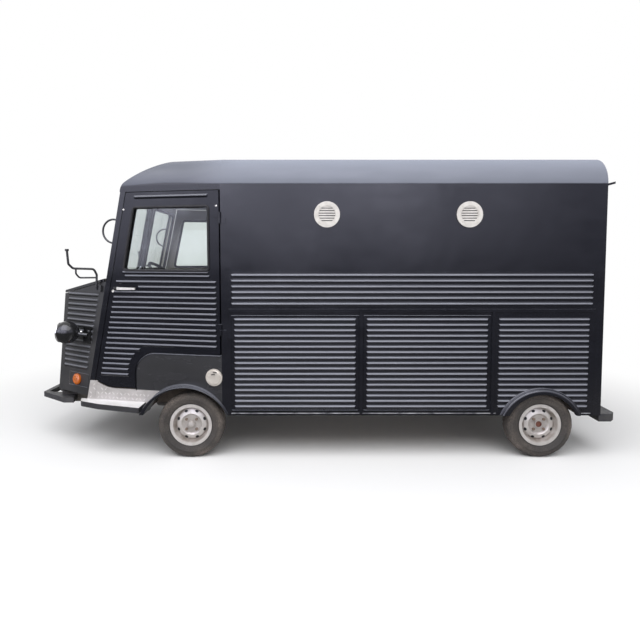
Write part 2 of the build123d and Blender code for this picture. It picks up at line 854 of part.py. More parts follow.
def make_rail():
    y0, y1 = rail_y - rail_width / 2, rail_y + rail_width / 2
    x0, x1 = rear_wall_x + wall, nose_toe_x
    rail = block(x0, x1, y0, y1, rail_bottom_z, floor_z)
    rail += block(x1, front_x - 100, y0, y1, front_bumper_z, front_bumper_z + front_bumper)
    rail += block(rear_wall_x - rear_bumper_gap, x0, y0, y1, rail_bottom_z, sill_z)
    for x in jack_pad_x:
        reach = jack_pad / 2
        rail += block(x - reach, x + reach, y0, y1, rail_bottom_z - jack_pad_drop, rail_bottom_z)
    return rail - make_front_bumper()


def make_members():
    pieces = [block(xa, xb, -reach, reach, za, zb) for xa, xb, reach, za, zb in member_rows]
    top = step_z - step
    for x in outrigger_x:
        arm = block(x, x + 40, rail_y + rail_width / 2, cab_y(x) - outrigger_inset, top - 40, top)
        pieces += [arm, opposite(arm)]
    return pieces


# Steps, kick plates and bumpers
def make_step():
    foot = step_z - step - front_flare_z
    x0, x1 = front_flare_x + math.sqrt(front_flare_radius**2 - foot**2), nose_root_x + 60
    mid = x1 - 220
    ring = [
        (x0, cab_y(x0)),
        (x0, flare_out - 5),
        (mid, cab_y(mid) + 130),
        (x1 - 30, cab_y(x1) + 85),
        (x1, cab_y(x1)),
    ]
    board = prism_xy(ring, step_z - step, step_z)
    corner = board.edges().filter_by(Axis.Z).sort_by(lambda edge: abs(edge.center().X - x1 + 30))[0]
    return fillet([corner], step_corner)


# Side of the cab below the door, from the front flare to the screen frame
def kick_region(z0, out0, out1):
    foot = foot_arc(2 * lid_gap, out0)
    low = door_bottom_rear_z - 2 * lid_gap
    line = [(screen_x(z0, screen_frame + lid_gap), z0), (front_flare_x, z0), (front_flare_x, low)]
    ring = Polyline(foot @ 1, *[on_cab(x, z, out0) for x, z in line], foot @ 0)
    side = extrude(make_face([foot, ring]), amount=out1 - out0, dir=cab_normal)
    return side - front_flare(0, 2 * body_half_width)


def make_kick_plate():
    high = door_bottom_front_z - 2 * lid_gap
    ends = [(screen_x(z, inset), z) for inset, z in ((3, step_z), (3, high), (70, high), (70, step_z))]
    return kick_region(step_z - step, -kick_plate, 0) + cab_prism(ends, 0, kick_flap)


def make_front_bumper():
    z0, z1 = front_bumper_z, front_bumper_z + front_bumper
    x, wide = front_x, front_bumper
    outer = [(0, -120), (286, 85), (373, 85), (347, -45)]
    inner = [(300, -10), (wide, -135)]
    half = [(x - back, nose_half_width + out) for back, out in outer + inner]
    ring = half + [(a, -b) for a, b in reversed(half)]
    return prism_xy(ring, z0, z1)


def make_rear_bumper():
    x0, x1, y = -front_x, rear_wall_x - rear_bumper_gap, body_half_width - wall
    cut = 45.0
    ring = [(x1, y), (x0 + cut, y), (x0, y - cut), (x0, cut - y), (x0 + cut, -y), (x1, -y)]
    return prism_xy(ring, rear_bumper_z, rear_bumper_z + rear_bumper)


# Wheels, made on the driver's side
def turned(points):
    face = make_face(Polyline(*[(0, y, r) for r, y in points], close=True))
    return revolve(face, axis=Axis.Y, revolution_arc=360)


def make_tyre():
    half, tread = tyre_width / 2, tyre_radius
    seat, bead_y = rim_seat_radius + fit, rim_half_width - 2 * rim_sheet
    lip_y, bulge = rim_half_width - rim_sheet - 1, (seat + tread) / 2
    side = [(seat, bead_y - 1), (rim_flange_radius + 3, lip_y), (bulge, half), (tread, half - 26)]
    return turned(side + [(r, -y) for r, y in reversed(side)])


def make_rim(domed):
    flange, seat, well = rim_flange_radius, rim_seat_radius, rim_well_radius
    half, thick, out = rim_half_width, rim_sheet, disc_out
    barrel = [
        (flange, half),
        (flange, half - thick),
        (seat, half - 2 * thick),
        (well, 16),
        (well, -half / 2),
        (seat, 2 * thick - half),
        (flange, thick - half),
        (flange, -half),
        (seat - thick, -half),
        (well - thick, -half / 2),
        (well - thick, 16),
        (seat - thick, half),
    ]
    hub = lug_circle + 16
    disc = [
        (well, 2),
        (well, 12),
        (well - 4, out - 2),
        (hub + 14, out + 12),
        (hub, out),
        (spindle_radius + fit, out),
        (spindle_radius + fit, out - drum_length),
        (drum_radius, out - drum_length),
        (drum_radius, out - 14),
        (well - 10, 2),
    ]
    wheel = turned(barrel) + turned(disc)
    slot = Box(14, 60, 27)
    slots = [Rot(0, 45 * i + 22.5, 0) * Pos(rim_slot_circle, out - 6, 0) * slot for i in range(8)]
    nut = extrude(Plane.XZ * RegularPolygon(12, 6), amount=20, dir=(0, 1, 0))
    nuts = [
        Rot(0, 90 * i + 45, 0) * Pos(lug_circle, out - 2, 0) * nut for i in range(4)
    ]
    cap = turned([(0, out), (30, out), (30, out + 16), (20, out + 30), (0, out + 33)])
    bore = spindle_radius + fit
    boss = turned([(bore, out - 1), (34, out - 1), (34, out + 12), (bore, out + 12)])
    return (wheel - slots) + nuts + (cap if domed else boss)


def on_wheels(shape):
    places = {
        "front_left": Pos(front_axle_x, wheel_y, hub_z),
        "rear_left": Pos(rear_axle_x, wheel_y, hub_z),
    }
    found = {name: place * shape for name, place in places.items()}
    for name in list(found):
        found[name.replace("left", "right")] = opposite(found[name])
    return found


# Axles, springs and steering
boss_height = 74.0
boss_radius = 26.0
ear = 16.0
ear_gap = 1.0


def make_front_axle():
    z = hub_z - 45
    reach = kingpin_y - 90
    beam = block(front_axle_x - 25, front_axle_x + 25, -reach, reach, z - 30, z + 25)
    for side in (1, -1):
        at = Pos(front_axle_x, side * kingpin_y, hub_z)
        beam += at * Cylinder(boss_radius, boss_height)
        y0, y1 = sorted((side * (reach - 60), side * (kingpin_y - 6)))
        beam += block(front_axle_x - 18, front_axle_x + 18, y0, y1, hub_z - 28, hub_z + 32)
        beam += at * Cylinder(kingpin_radius, boss_height + 2 * ear + 2 * ear_gap + 12)
    return beam


def make_knuckle():
    x, half = front_axle_x, boss_height / 2 + ear_gap
    at = Pos(x, kingpin_y, hub_z)
    flange_y = wheel_y + disc_out - drum_length - lid_gap
    web_y = kingpin_y + boss_radius + 2
    body = block(x - 30, x + 30, web_y, flange_y, hub_z - half - ear, hub_z + half + ear)
    for z0 in (hub_z + half, hub_z - half - ear):
        body += block(x - 30, x + 30, kingpin_y, flange_y, z0, z0 + ear)
        body += Pos(x, kingpin_y, z0 + ear / 2) * Cylinder(30, ear)
    body += drum_y(x, hub_z, drum_radius - 10, flange_y - 8, flange_y)
    body += drum_y(x, hub_z, spindle_radius, flange_y, wheel_y + disc_out - 4)
    arm_y, z1 = kingpin_y, hub_z - half
    body += prism_xy(
        [
            (x - 10, kingpin_y - 24),
            (x - 10, kingpin_y + 24),
            (x - steer_arm, arm_y + 18),
            (x - steer_arm, arm_y - 18),
        ],
        z1 - ear,
        z1,
    )
    body += Pos(x - steer_arm, arm_y, z1 - ear / 2) * Cylinder(18, ear)
    body += Pos(x - steer_arm, arm_y, (z1 + tie_rod_z - 20) / 2) * Cylinder(8, z1 - tie_rod_z + 20)
    return body - at * Cylinder(kingpin_radius + fit, 4 * boss_height)


def make_tie_rod():
    x, y = front_axle_x - steer_arm, kingpin_y
    bar = rod((x, 12 - y, tie_rod_z), (x, y - 12, tie_rod_z), 9)
    for side in (1, -1):
        at = Pos(x, side * y, tie_rod_z)
        bar += at * Cylinder(20, 26)
        bar -= at * Cylinder(8 + fit, 80)
    return bar


def make_rear_axle():
    x, flange_y = rear_axle_x, wheel_y + disc_out - drum_length - lid_gap
    axle = drum_y(x, hub_z, 36, -flange_y, flange_y)
    casing = block(x - 105, x + 105, -115, 115, hub_z - 115, rail_bottom_z + 30)
    axle += Pos(x, 0, hub_z) * Sphere(115) & casing
    for side in (1, -1):
        y0, y1 = sorted((side * (flange_y - 8), side * flange_y))
        axle += drum_y(x, hub_z, drum_radius - 10, y0, y1)
        y0, y1 = sorted((side * flange_y, side * (wheel_y + disc_out + 4)))
        axle += drum_y(x, hub_z, spindle_radius, y0, y1)
    return axle


spring_rows = ((front_axle_x, hub_z - 20, 420.0), (rear_axle_x, hub_z - 78, 440.0))


def make_springs():
    pieces = []
    for x, z, reach in spring_rows:
        line = [
            (x - reach, rail_bottom_z),
            (x - reach - 30, rail_bottom_z),
            (x - reach, rail_bottom_z - 40),
            (x - 60, z),
            (x + 60, z),
            (x + reach, rail_bottom_z - 40),
            (x + reach + 30, rail_bottom_z),
            (x + reach, rail_bottom_z),
            (x + reach - 20, rail_bottom_z - 12),
            (x + 60, z + 42),
            (x - 60, z + 42),
            (x - reach + 20, rail_bottom_z - 12),
        ]
        leaf_pack = prism_xz(line, rail_y - 25, rail_y + 25)
        pieces += [leaf_pack, opposite(leaf_pack)]
    return pieces


engine_rail_gap = 130.0


def make_engine():
    x0, x1 = pillar_x + 60, pillar_x + 590
    top = front_house_top_z - 30
    half = between_rails - engine_rail_gap
    return block(x0, x1, -half, half, rail_bottom_z + 30, top) + block(
        x0 - 330, x0, -110, 110, rail_bottom_z - 10, floor_z - 10
    )


def make_propshaft():
    start = (pillar_x - 260, 0, rail_bottom_z + 30)
    end = (rear_axle_x + 90, 0, hub_z)
    return rod(start, end, 32) - make_engine() - make_rear_axle()


# Lamps, vents and small fittings
def on_nose(x, z, out=0.0):
    return Vector(x, nose_y(x, z), z) + nose_normal * out


lamp_x = nose_toe_x - 247
lamp_z = 995.0
lamp_out = 116.0
lamp_radius = 97.0
lamp_front = 58.0


def lamp_turned(edges):
    return Pos(on_nose(lamp_x, lamp_z, lamp_out)) * revolve(make_face(edges), axis=Axis.X, revolution_arc=360)


def make_headlamp():
    centre = on_nose(lamp_x, lamp_z, lamp_out)
    radius, face_radius = lamp_radius, math.sqrt(lamp_radius**2 - lamp_front**2)
    arc = ThreePointArc((-radius, 0), (0, radius), (lamp_front, face_radius))
    pod = lamp_turned([arc, Polyline((lamp_front, face_radius), (lamp_front, 0), (-radius, 0))])
    foot = on_nose(lamp_x - 110, lamp_z - 20)
    low = (Align.CENTER, Align.CENTER, Align.MIN)
    base = Plane(origin=foot, z_dir=nose_normal, x_dir=(0, 0, 1))
    plate = base * Pos(0, 0, bead_height) * Box(140, 96, 8, align=low)
    plate += base * Cylinder(20, bead_height, align=low)
    return pod + (rod(tuple(foot + nose_normal * 12), tuple(centre), 18) + plate - make_nose_left())


def make_nose_left():
    return nose_block(0, nose_bottom_z, bonnet_rear_z, 0) + nose_beads()


def make_headlamp_lens():
    face_radius = math.sqrt(lamp_radius**2 - lamp_front**2)
    dome = 22.0
    radius = (face_radius**2 + dome**2) / (2 * dome)
    rise = math.asin(face_radius / radius) / 2
    bend = (lamp_front + dome - radius * (1 - math.cos(rise)), radius * math.sin(rise))
    arc = ThreePointArc((lamp_front, face_radius), bend, (lamp_front + dome, 0))
    flat = Polyline((lamp_front + dome, 0), (lamp_front, 0), (lamp_front, face_radius))
    return lamp_turned([arc, flat])


indicator_x = nose_toe_x - 232
indicator_z = 582.0


def make_indicator():
    base = Plane(origin=on_nose(indicator_x, indicator_z), z_dir=nose_normal)
    low = (Align.CENTER, Align.CENTER, Align.MIN)
    return base * (Cylinder(47, 16, align=low) + Pos(0, 0, 16) * Cone(47, 30, 12, align=low))


vent_x = (pillar_x - 850, rear_wall_x + 1096)
vent_z = 1986.0
vent_radius = 103.0
vent_core = 70.0
vent_slot = 7.0
vent_slot_pitch = 19.7
vent_slot_count = 6


def make_vent(x):
    y, half = body_half_width, vent_slot / 2
    disc = drum_y(x, vent_z, vent_radius, y, y + 14) - drum_y(x, vent_z, vent_core, y + 8, y + wall)
    core = drum_y(x, vent_z, vent_core - 4, y - wall, y + wall)
    for i in range(vent_slot_count):
        z = vent_z + vent_slot_pitch * (i - (vent_slot_count - 1) / 2)
        disc -= block(x - vent_core, x + vent_core, y - wall, y + wall, z - half, z + half) & core
    return disc


def make_filler_cap():
    base = Plane(origin=on_cab(pillar_x + 64, 671), z_dir=cab_normal)
    low = (Align.CENTER, Align.CENTER, Align.MIN)
    cap = Cylinder(70, 12, align=low) + Pos(0, 0, 12) * Cone(63, 55, 10, align=low)
    return base * cap


tail_lamp_z = 560.0
tail_lamp_height = 200.0
tail_lamp_width = 80.0
tail_lamp_depth = 32.0


def make_tail_lamp():
    y0 = (body_half_width + rear_door_half_width - tail_lamp_width) / 2
    z0, depth = tail_lamp_z, tail_lamp_depth
    return block(rear_wall_x - depth, rear_wall_x, y0, y0 + tail_lamp_width, z0, z0 + tail_lamp_height)


# Mirror arms and grab loops; the arm swings out of the cab side by its plan angle
arm_out = math.radians(35)
tube = 9.0
brace_tube = 7.0
bend_radius = 30.0
arm_rows = ((0, 1370), (-4, 1500), (18, 1547), (178, 1554), (212, 1590), (220, 1705))
brace_rows = ((0, 1474), (132, 1476), (157, 1510), (157, 1552))


def arm_point(along, z):
    foot = on_nose(nose_crest_x + 85, 1385, 22)
    return (foot.X + along * math.cos(arm_out), foot.Y + along * math.sin(arm_out), z)


def bent_tube(points, radius):
    path = FilletPolyline(*points, radius=bend_radius)
    return sweep(Plane(origin=path @ 0, z_dir=path % 0) * Circle(radius), path=path)


def make_mirror_arm():
    foot = Plane(origin=on_nose(nose_crest_x + 85, 1380), z_dir=nose_normal, x_dir=(0, 0, 1))
    plate = foot * Pos(0, -16, 9) * Box(54, 64, 18)
    arm = bent_tube([arm_point(*row) for row in arm_rows], tube)
    brace = bent_tube([arm_point(*row) for row in brace_rows], brace_tube)
    knob = Pos(arm_point(*arm_rows[-1])) * Cylinder(15, 18)
    return plate + arm + brace + knob


loop_low_z = 1766.0
loop_high_z = 1952.0
loop_reach = 94.0
loop_tube = 8.0


def make_grab_loop():
    ends = [on_cab(screen_x(z) - 8, z, -22) for z in (loop_low_z, loop_high_z)]
    mid = on_cab(screen_x(loop_low_z) + loop_reach, (loop_low_z + loop_high_z) / 2, -22)
    path = ThreePointArc(ends[0], mid, ends[1])
    loop = sweep(Plane(origin=path @ 0, z_dir=path % 0) * Circle(loop_tube), path=path)
    return loop - screen_slab(screen_frame * 2)


# Inside the cab
seat_y = body_half_width - 550.0
seat_half_width = 230.0
wheel_centre = (pillar_x + 595, seat_y, 1470.0)
column_lean = math.radians(50)
steer_radius = 190.0
steer_grip = 13.5


def make_steering_wheel():
    axis = Vector(-math.cos(column_lean), 0, math.sin(column_lean))
    low = (Align.CENTER, Align.CENTER, Align.MAX)
    hub = Cylinder(30, 40, align=low) + Pos(0, 0, -60) * Cylinder(11, 110)
    spoke = Pos(steer_radius / 2, 0, -4) * Box(steer_radius, 22, 8)
    hub += [Rot(0, 0, 120 * i + 90) * spoke for i in range(3)]
    section = Plane.XZ * Pos(steer_radius, 0) * RegularPolygon(steer_grip, 8)
    ring = revolve(section, axis=Axis.Z, revolution_arc=360)
    return Plane(origin=wheel_centre, z_dir=axis, x_dir=(0, 1, 0)) * (ring + hub)


dash_depth = 190.0
dash_to_wheel = 172.0


def make_dashboard():
    z0, z1 = 1240.0, 1470.0
    x0 = min(screen_x(z1, screen_frame) - dash_depth, wheel_centre[0] + dash_to_wheel)
    screen = [(screen_x(z, screen_frame), z) for z in (z1, z0)]
    line = [(x0, z0 + 60), (x0, z1 - 30), (x0 + 40, z1), *screen]
    reach = body_half_width
    board = prism_xz(line, -reach, reach) & cab_core(door + 16, z0, z1)
    axis = Vector(-math.cos(column_lean), 0, math.sin(column_lean))
    start = Vector(*wheel_centre) - axis * 70
    end = Vector(*wheel_centre) - axis * 330
    column = rod(tuple(end), tuple(start), 24)
    return board + column - rod(tuple(end), tuple(start + axis * 10), 11 + fit)


def make_seat(y):
    z0 = front_house_top_z + cab_floor
    x0 = pillar_x + 60
    line = [
        (x0 + 60, z0),
        (x0 + 520, z0),
        (x0 + 540, 900),
        (x0 + 560, 960),
        (x0 + 530, 985),
        (x0 + 160, 965),
        (x0 + 90, 1540),
        (x0, 1540),
        (x0 + 50, 900),
    ]
    return prism_xz(line, y - seat_half_width, y + seat_half_width)


def main():
    save("roof", make_roof())
    save("side_wall_left", make_side_wall())
    save("side_wall_right", make_hatch_side())
    save("side_panels", make_side_panel(True), opposite(make_side_panel(False)))
    save("rear_wall", make_rear_wall() + make_rain_ledge())
    rear_door = make_rear_door()
    save("rear_door_left", rear_door)
    save("rear_door_right", opposite(rear_door))
    save("hatch", make_hatch())
    save("cab_front", make_cab_front())
    save("windscreen", *make_windscreen())
    save("nose_shell", make_nose())
    save("grille", make_grille())
    save("bonnet", make_bonnet())
    cab_door, pane = make_door(), window_cut(-door / 2, glass - door / 2)
    handle = make_handle() - cab_door
    for side, turn in (("left", lambda shape: shape), ("right", opposite)):
        save(f"cab_door_{side}", turn(cab_door))
        save(f"door_glass_{side}", turn(pane))
        save(f"door_handle_{side}", turn(handle))
    pins = [pin for pin, eye in cab_hinges() + rear_hinges()]
    single = [pin for pin, eye in hatch_hinges()]
    single += [pin - screen_slab(wall) for pin, eye in bonnet_hinges()]
    save("hinge_pins", *pins, *[opposite(pin) for pin in pins], *single)
    for node, maker in (
        ("arch_panels", make_arch_panel),
        ("wheel_flares", lambda: Compound(children=solids_of(make_front_flare(), make_rear_flare()))),
        ("wheel_houses", lambda: Compound(children=solids_of(make_front_house(), make_rear_house()))),
        ("steps", make_step),
        ("kick_plates", make_kick_plate),
        ("headlamps", make_headlamp),
        ("headlamp_lenses", make_headlamp_lens),
        ("indicators", make_indicator),
        ("tail_lamps", make_tail_lamp),
        ("filler_cap", make_filler_cap),
        ("mirror_arms", make_mirror_arm),
        ("grab_loops", make_grab_loop),
    ):
        shape = maker()
        save(node, shape, *([] if node == "filler_cap" else [opposite(shape)]))
    save("vents", *[make_vent(x) for x in vent_x])
    save("load_floor", make_load_floor())
    save("cab_floor", make_cab_floor())
    rail = make_rail()
    save("frame_rails", rail, opposite(rail))
    save("cross_members", *make_members())
    save("bumpers", make_front_bumper(), make_rear_bumper())
    tyres, domed, open_rims = on_wheels(make_tyre()), on_wheels(make_rim(True)), on_wheels(make_rim(False))
    for name in tyres:
        save(f"tyre_{name}", tyres[name])
        save(f"rim_{name}", (domed if "front" in name else open_rims)[name])
    save("front_axle", make_front_axle())
    knuckle = make_knuckle()
    save("knuckle_left", knuckle)
    save("knuckle_right", opposite(knuckle))
    save("tie_rod", make_tie_rod())
    save("rear_axle", make_rear_axle())
    save("leaf_springs", *make_springs())
    save("engine", make_engine())
    save("propshaft", make_propshaft())
    save("steering_wheel", make_steering_wheel())
    save("dashboard", make_dashboard())
    save("seats", make_seat(seat_y), make_seat(-seat_y))


main()
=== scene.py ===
import json
import math

import bmesh
import bpy
from mathutils import Matrix, Vector
from mathutils.bvhtree import BVHTree


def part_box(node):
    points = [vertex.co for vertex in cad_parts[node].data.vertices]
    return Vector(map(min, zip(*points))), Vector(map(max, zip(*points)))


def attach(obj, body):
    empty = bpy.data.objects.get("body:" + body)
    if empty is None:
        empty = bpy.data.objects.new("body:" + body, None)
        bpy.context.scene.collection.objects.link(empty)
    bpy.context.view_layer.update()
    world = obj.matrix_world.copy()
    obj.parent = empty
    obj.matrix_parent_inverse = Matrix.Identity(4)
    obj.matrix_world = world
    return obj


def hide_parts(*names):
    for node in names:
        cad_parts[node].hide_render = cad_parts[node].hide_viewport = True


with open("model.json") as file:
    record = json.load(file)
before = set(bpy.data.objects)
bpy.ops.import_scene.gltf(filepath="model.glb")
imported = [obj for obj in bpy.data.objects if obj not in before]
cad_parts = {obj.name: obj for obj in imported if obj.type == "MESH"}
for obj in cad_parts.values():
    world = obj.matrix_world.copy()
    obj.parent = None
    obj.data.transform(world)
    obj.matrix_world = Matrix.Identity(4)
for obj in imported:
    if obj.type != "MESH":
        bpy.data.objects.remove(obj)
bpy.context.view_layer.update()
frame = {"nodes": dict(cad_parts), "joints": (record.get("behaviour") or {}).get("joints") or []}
nodes = frame["nodes"]

# Wheel centres from the frame, in metres
joints = {joint["name"]: joint for joint in frame["joints"]}
FRONT_AXLE_X, WHEEL_Y, HUB_Z = joints["wheel_front_left_spin"]["pos_m"]
REAR_AXLE_X = joints["wheel_rear_left_spin"]["pos_m"][0]
# Columns are end, side, X and Y
WHEELS = [
    (end, side, x, y)
    for end, x in (("front", FRONT_AXLE_X), ("rear", REAR_AXLE_X))
    for side, y in (("left", WHEEL_Y), ("right", -WHEEL_Y))
]

# Lines of the body that the solids follow, in metres
PILLAR_X, BODY_Y = 0.735, 0.94
CAB_TAPER = math.radians(11.5)
SCREEN_FOOT_X, SCREEN_FOOT_Z = 1.94, 0.46
SCREEN_RAKE = math.radians(11.36)
# Lower bays of the side: X of the front edge and of the rear edge
BAYS = ((0.675, -0.393), (-0.393, -1.458), (-1.458, -2.275))


def cab_y(x):
    return BODY_Y - (x - PILLAR_X) * math.tan(CAB_TAPER)


def screen_x(z, inset=0.0):
    return SCREEN_FOOT_X - (z - SCREEN_FOOT_Z) * math.tan(SCREEN_RAKE) - inset / math.cos(SCREEN_RAKE)


# Shader graphs
class Graph:
    def __init__(self, name, **sockets):
        self.material = bpy.data.materials.new(name)
        self.material.use_nodes = True
        self.tree = self.material.node_tree
        self.shader = self.tree.nodes["Principled BSDF"]
        self.object = self.tree.nodes.new("ShaderNodeTexCoord")
        self.point = self.object.outputs["Object"]
        self.set(**sockets)

    def set(self, **sockets):
        for name, value in sockets.items():
            self.feed(self.shader.inputs[name.replace("_", " ")], value)

    def feed(self, socket, value):
        if isinstance(value, bpy.types.NodeSocket):
            self.tree.links.new(value, socket)
        else:
            socket.default_value = (*value, 1.0) if isinstance(value, tuple) and len(value) == 3 else value

    def node(self, kind, settings, *values):
        made = self.tree.nodes.new("ShaderNode" + kind)
        for name, value in settings.items():
            setattr(made, name, value)
        for place, value in enumerate(values):
            if value is not None:
                self.feed(made.inputs[place], value)
        return made

    def math(self, operation, a, b=0.0):
        return self.node("Math", {"operation": operation}, a, b).outputs[0]

    def product(self, first, *others):
        for other in others:
            first = self.math("MULTIPLY", first, other)
        return first

    def axis(self, name, source=None):
        return self.node("SeparateXYZ", {}, source or self.point).outputs[name]

    def stretched(self, x, y, z):
        made = self.node("Mapping", {}, self.point)
        made.inputs["Scale"].default_value = (x, y, z)
        return made.outputs[0]

    def noise(self, scale, detail=4.0, source=None):
        made = self.node("TexNoise", {}, source or self.point)
        made.inputs["Scale"].default_value = scale
        made.inputs["Detail"].default_value = detail
        return made.outputs["Fac"]

    def cells(self, scale):
        made = self.node("TexVoronoi", {}, self.point)
        made.inputs["Scale"].default_value = scale
        return made.outputs["Distance"]

    def span(self, value, low, high, to_low=0.0, to_high=1.0):
        settings = {"interpolation_type": "SMOOTHSTEP"}
        return self.node("MapRange", settings, value, low, high, to_low, to_high).outputs[0]

    def band(self, value, low, low_full, high_full, high):
        return self.product(self.span(value, low, low_full), self.span(value, high_full, high, 1.0, 0.0))

    def blend(self, share, a, b):
        made = self.tree.nodes.new("ShaderNodeMix")
        made.data_type = "RGBA"
        for place, value in ((0, share), (6, a), (7, b)):
            self.feed(made.inputs[place], value)
        return made.outputs[2]

    def bump(self, height, depth, over=None):
        made = self.node("Bump", {})
        made.inputs["Distance"].default_value = depth
        self.feed(made.inputs["Height"], height)
        if over is not None:
            self.feed(made.inputs["Normal"], over)
        return made.outputs[0]


# Share of road dust, more of it low down and in patches
def dust(graph, low, high, most):
    height = graph.span(graph.axis("Z"), low, high, 1.0, 0.0)
    patches = graph.span(graph.noise(3.1, 6.0), 0.32, 0.72)
    specks = graph.span(graph.noise(95.0, 3.0), 0.35, 0.75, 0.55, 1.0)
    return graph.product(height, patches, graph.product(specks, most))


# Faces that look into the cab or load space, behind the outer skin
def inward(graph):
    normal = graph.object.outputs["Normal"]
    side = graph.product(graph.axis("Y", normal), graph.axis("Y"))
    ends = graph.product(graph.axis("X", normal), graph.math("ADD", graph.axis("X"), 0.3), 0.4)
    facing = graph.span(graph.math("ADD", side, ends), -0.62, -0.5, 1.0, 0.0)
    taper = graph.product(graph.math("SUBTRACT", graph.axis("X"), PILLAR_X), math.tan(CAB_TAPER))
    wall = graph.math("SUBTRACT", BODY_Y, graph.math("MAXIMUM", taper, 0.0))
    depth = graph.math("SUBTRACT", wall, graph.math("ABSOLUTE", graph.axis("Y")))
    return graph.product(facing, graph.span(depth, 0.028, 0.034))


# Painted highlight laid as a pale film on whatever faces up, in place of reflected sky
def painted_top_highlight(graph, start, end, most):
    up = graph.axis("Z", graph.object.outputs["Normal"])
    patches = graph.span(graph.noise(2.2, 5.0), 0.3, 0.7, 0.82, 1.0)
    return graph.product(graph.span(up, start, end, 0.0, most), patches)


# The roof's painted reflection starts on a clear line that rises over each cab door, and is thinner over the
# cab
REFLECTION_LINE_Z, REFLECTION_LINE_RISE, REFLECTION_LINE_EDGE = 2.228, 0.018, 0.016
DOOR_MIDDLE_X, DOOR_HALF_LENGTH = 1.19, 0.47


def roof_painted_highlight(graph, start, end, most):
    from_door = graph.math("ABSOLUTE", graph.math("SUBTRACT", graph.axis("X"), DOOR_MIDDLE_X))
    line = graph.span(from_door, 0.0, DOOR_HALF_LENGTH, REFLECTION_LINE_RISE, 0.0)
    above = graph.math("SUBTRACT", graph.math("SUBTRACT", graph.axis("Z"), REFLECTION_LINE_Z), line)
    lit = graph.span(graph.math("ADD", above, graph.product(graph.noise(7.0), 0.006)), 0.0, REFLECTION_LINE_EDGE)
    cab = graph.span(graph.axis("X"), 0.55, 1.1, 1.0, 0.46)
    up = graph.axis("Z", graph.object.outputs["Normal"])
    return graph.product(lit, cab, graph.span(up, start, end, 0.62 * most, most))


# Painted highlight on the sheet just over each bead of the rows given, a ramp in place of the light it
# catches curving into the bead
ROW_FADE, END_FADE, BEAD_RAMP_MOST = 0.004, 0.02, 0.15


def bead_painted_ramp(graph, rows):
    total, x, z = 0.0, graph.axis("X"), graph.axis("Z")
    for first, pitch, low, high, rear, front in rows:
        phase = graph.math("FRACT", graph.math("DIVIDE", graph.math("SUBTRACT", z, first), pitch))
        share = graph.product(graph.span(phase, 0.2, 0.32), graph.span(phase, 0.34, 0.68, BEAD_RAMP_MOST, 0.0))
        level = graph.band(z, low, low + ROW_FADE, high, high + ROW_FADE)
        between = graph.band(x, rear, rear + END_FADE, front - END_FADE, front)
        total = graph.math("ADD", total, graph.product(share, level, between))
    return total


# Body paint with road dust (lowest, highest Z and most) and a painted highlight on what faces up
ROAD_DUST = (0.1, 0.092, 0.084)
LINING, LINING_DARK = (0.36, 0.33, 0.29), (0.29, 0.265, 0.23)


def paint(name, base, rough, road_dust, painted_highlight, lined=True, wave=0.004, top_highlight=painted_top_highlight,
          rows=(), highlight_tint=(0.27, 0.28, 0.325), ior=1.45):
    graph = Graph(name, IOR=ior)
    tone = graph.blend(graph.noise(1.3, 5.0), base, tuple(1.4 * c for c in base))
    dirty = dust(graph, *road_dust)
    colour = graph.blend(dirty, tone, ROAD_DUST)
    # Painted highlight: a pale bluish tint on faces turned up and just over bead rows, in place of reflected
    # sky
    painted_highlight = graph.math("ADD", top_highlight(graph, *painted_highlight), bead_painted_ramp(graph, rows))
    colour = graph.blend(painted_highlight, colour, highlight_tint)
    sheen = graph.span(graph.noise(5.5, 6.0, graph.stretched(0.6, 0.6, 1.6)), 0.3, 0.7, rough, rough + 0.1)
    roughness = graph.math("ADD", sheen, graph.product(graph.math("ADD", dirty, painted_highlight), 0.4))
    if lined:
        inner = inward(graph)
        colour = graph.blend(inner, colour, graph.blend(graph.noise(9.0), LINING, LINING_DARK))
        roughness = graph.math("ADD", roughness, graph.product(inner, 0.3))
    waves = graph.bump(graph.noise(2.4, 2.0, graph.stretched(1.0, 1.0, 0.55)), wave)
    peel = graph.bump(graph.noise(420.0, 2.0), 0.00006, waves)
    graph.set(Base_Color=colour, Roughness=roughness, Normal=peel)
    return graph.material


# A finish that varies between two colours and two roughnesses, with a fine bump
def plain(name, base, vary, rough, rough_vary, scale, depth, **sockets):
    graph = Graph(name, **sockets)
    graph.set(
        Base_Color=graph.blend(graph.span(graph.noise(scale, 6.0), 0.3, 0.7), base, vary),
        Roughness=graph.span(graph.noise(scale * 2.7, 5.0), 0.3, 0.7, rough, rough_vary),
        Normal=graph.bump(graph.noise(scale * 9.0, 4.0), depth),
    )
    return graph.material


def glass(name, tint):
    graph = Graph(name, IOR=1.47, Transmission_Weight=1.0, Base_Color=tint)
    graph.set(Roughness=graph.span(graph.noise(7.0, 6.0), 0.55, 0.8, 0.0, 0.05))
    output = graph.tree.nodes["Material Output"]
    light = graph.tree.nodes.new("ShaderNodeLightPath")
    clear = graph.tree.nodes.new("ShaderNodeBsdfTransparent")
    both = graph.node("MixShader", {}, light.outputs["Is Shadow Ray"])
    graph.tree.links.new(graph.shader.outputs[0], both.inputs[1])
    graph.tree.links.new(clear.outputs[0], both.inputs[2])
    graph.tree.links.new(both.outputs[0], output.inputs[0])
    return graph.material


def lens(name, base, rib, **sockets):
    graph = Graph(name, Coat_Weight=0.25, **sockets)
    ribs = graph.node("TexWave", {"bands_direction": "Z"}, graph.point)
    ribs.inputs["Scale"].default_value = rib
    shade = graph.span(graph.noise(30.0), 0.3, 0.7)
    graph.set(
        Base_Color=graph.blend(shade, base, tuple(0.8 * c for c in base)),
        Roughness=graph.span(graph.noise(80.0), 0.3, 0.7, 0.12, 0.3),
        Normal=graph.bump(ribs.outputs["Fac"], 0.0015),
    )
    return graph.material


# Distance from a wheel's own axis
def hub_distance(graph, x):
    dx = graph.math("SUBTRACT", graph.axis("X"), x)
    dz = graph.math("SUBTRACT", graph.axis("Z"), HUB_Z)
    return graph.math("SQRT", graph.math("ADD", graph.product(dx, dx), graph.product(dz, dz)))
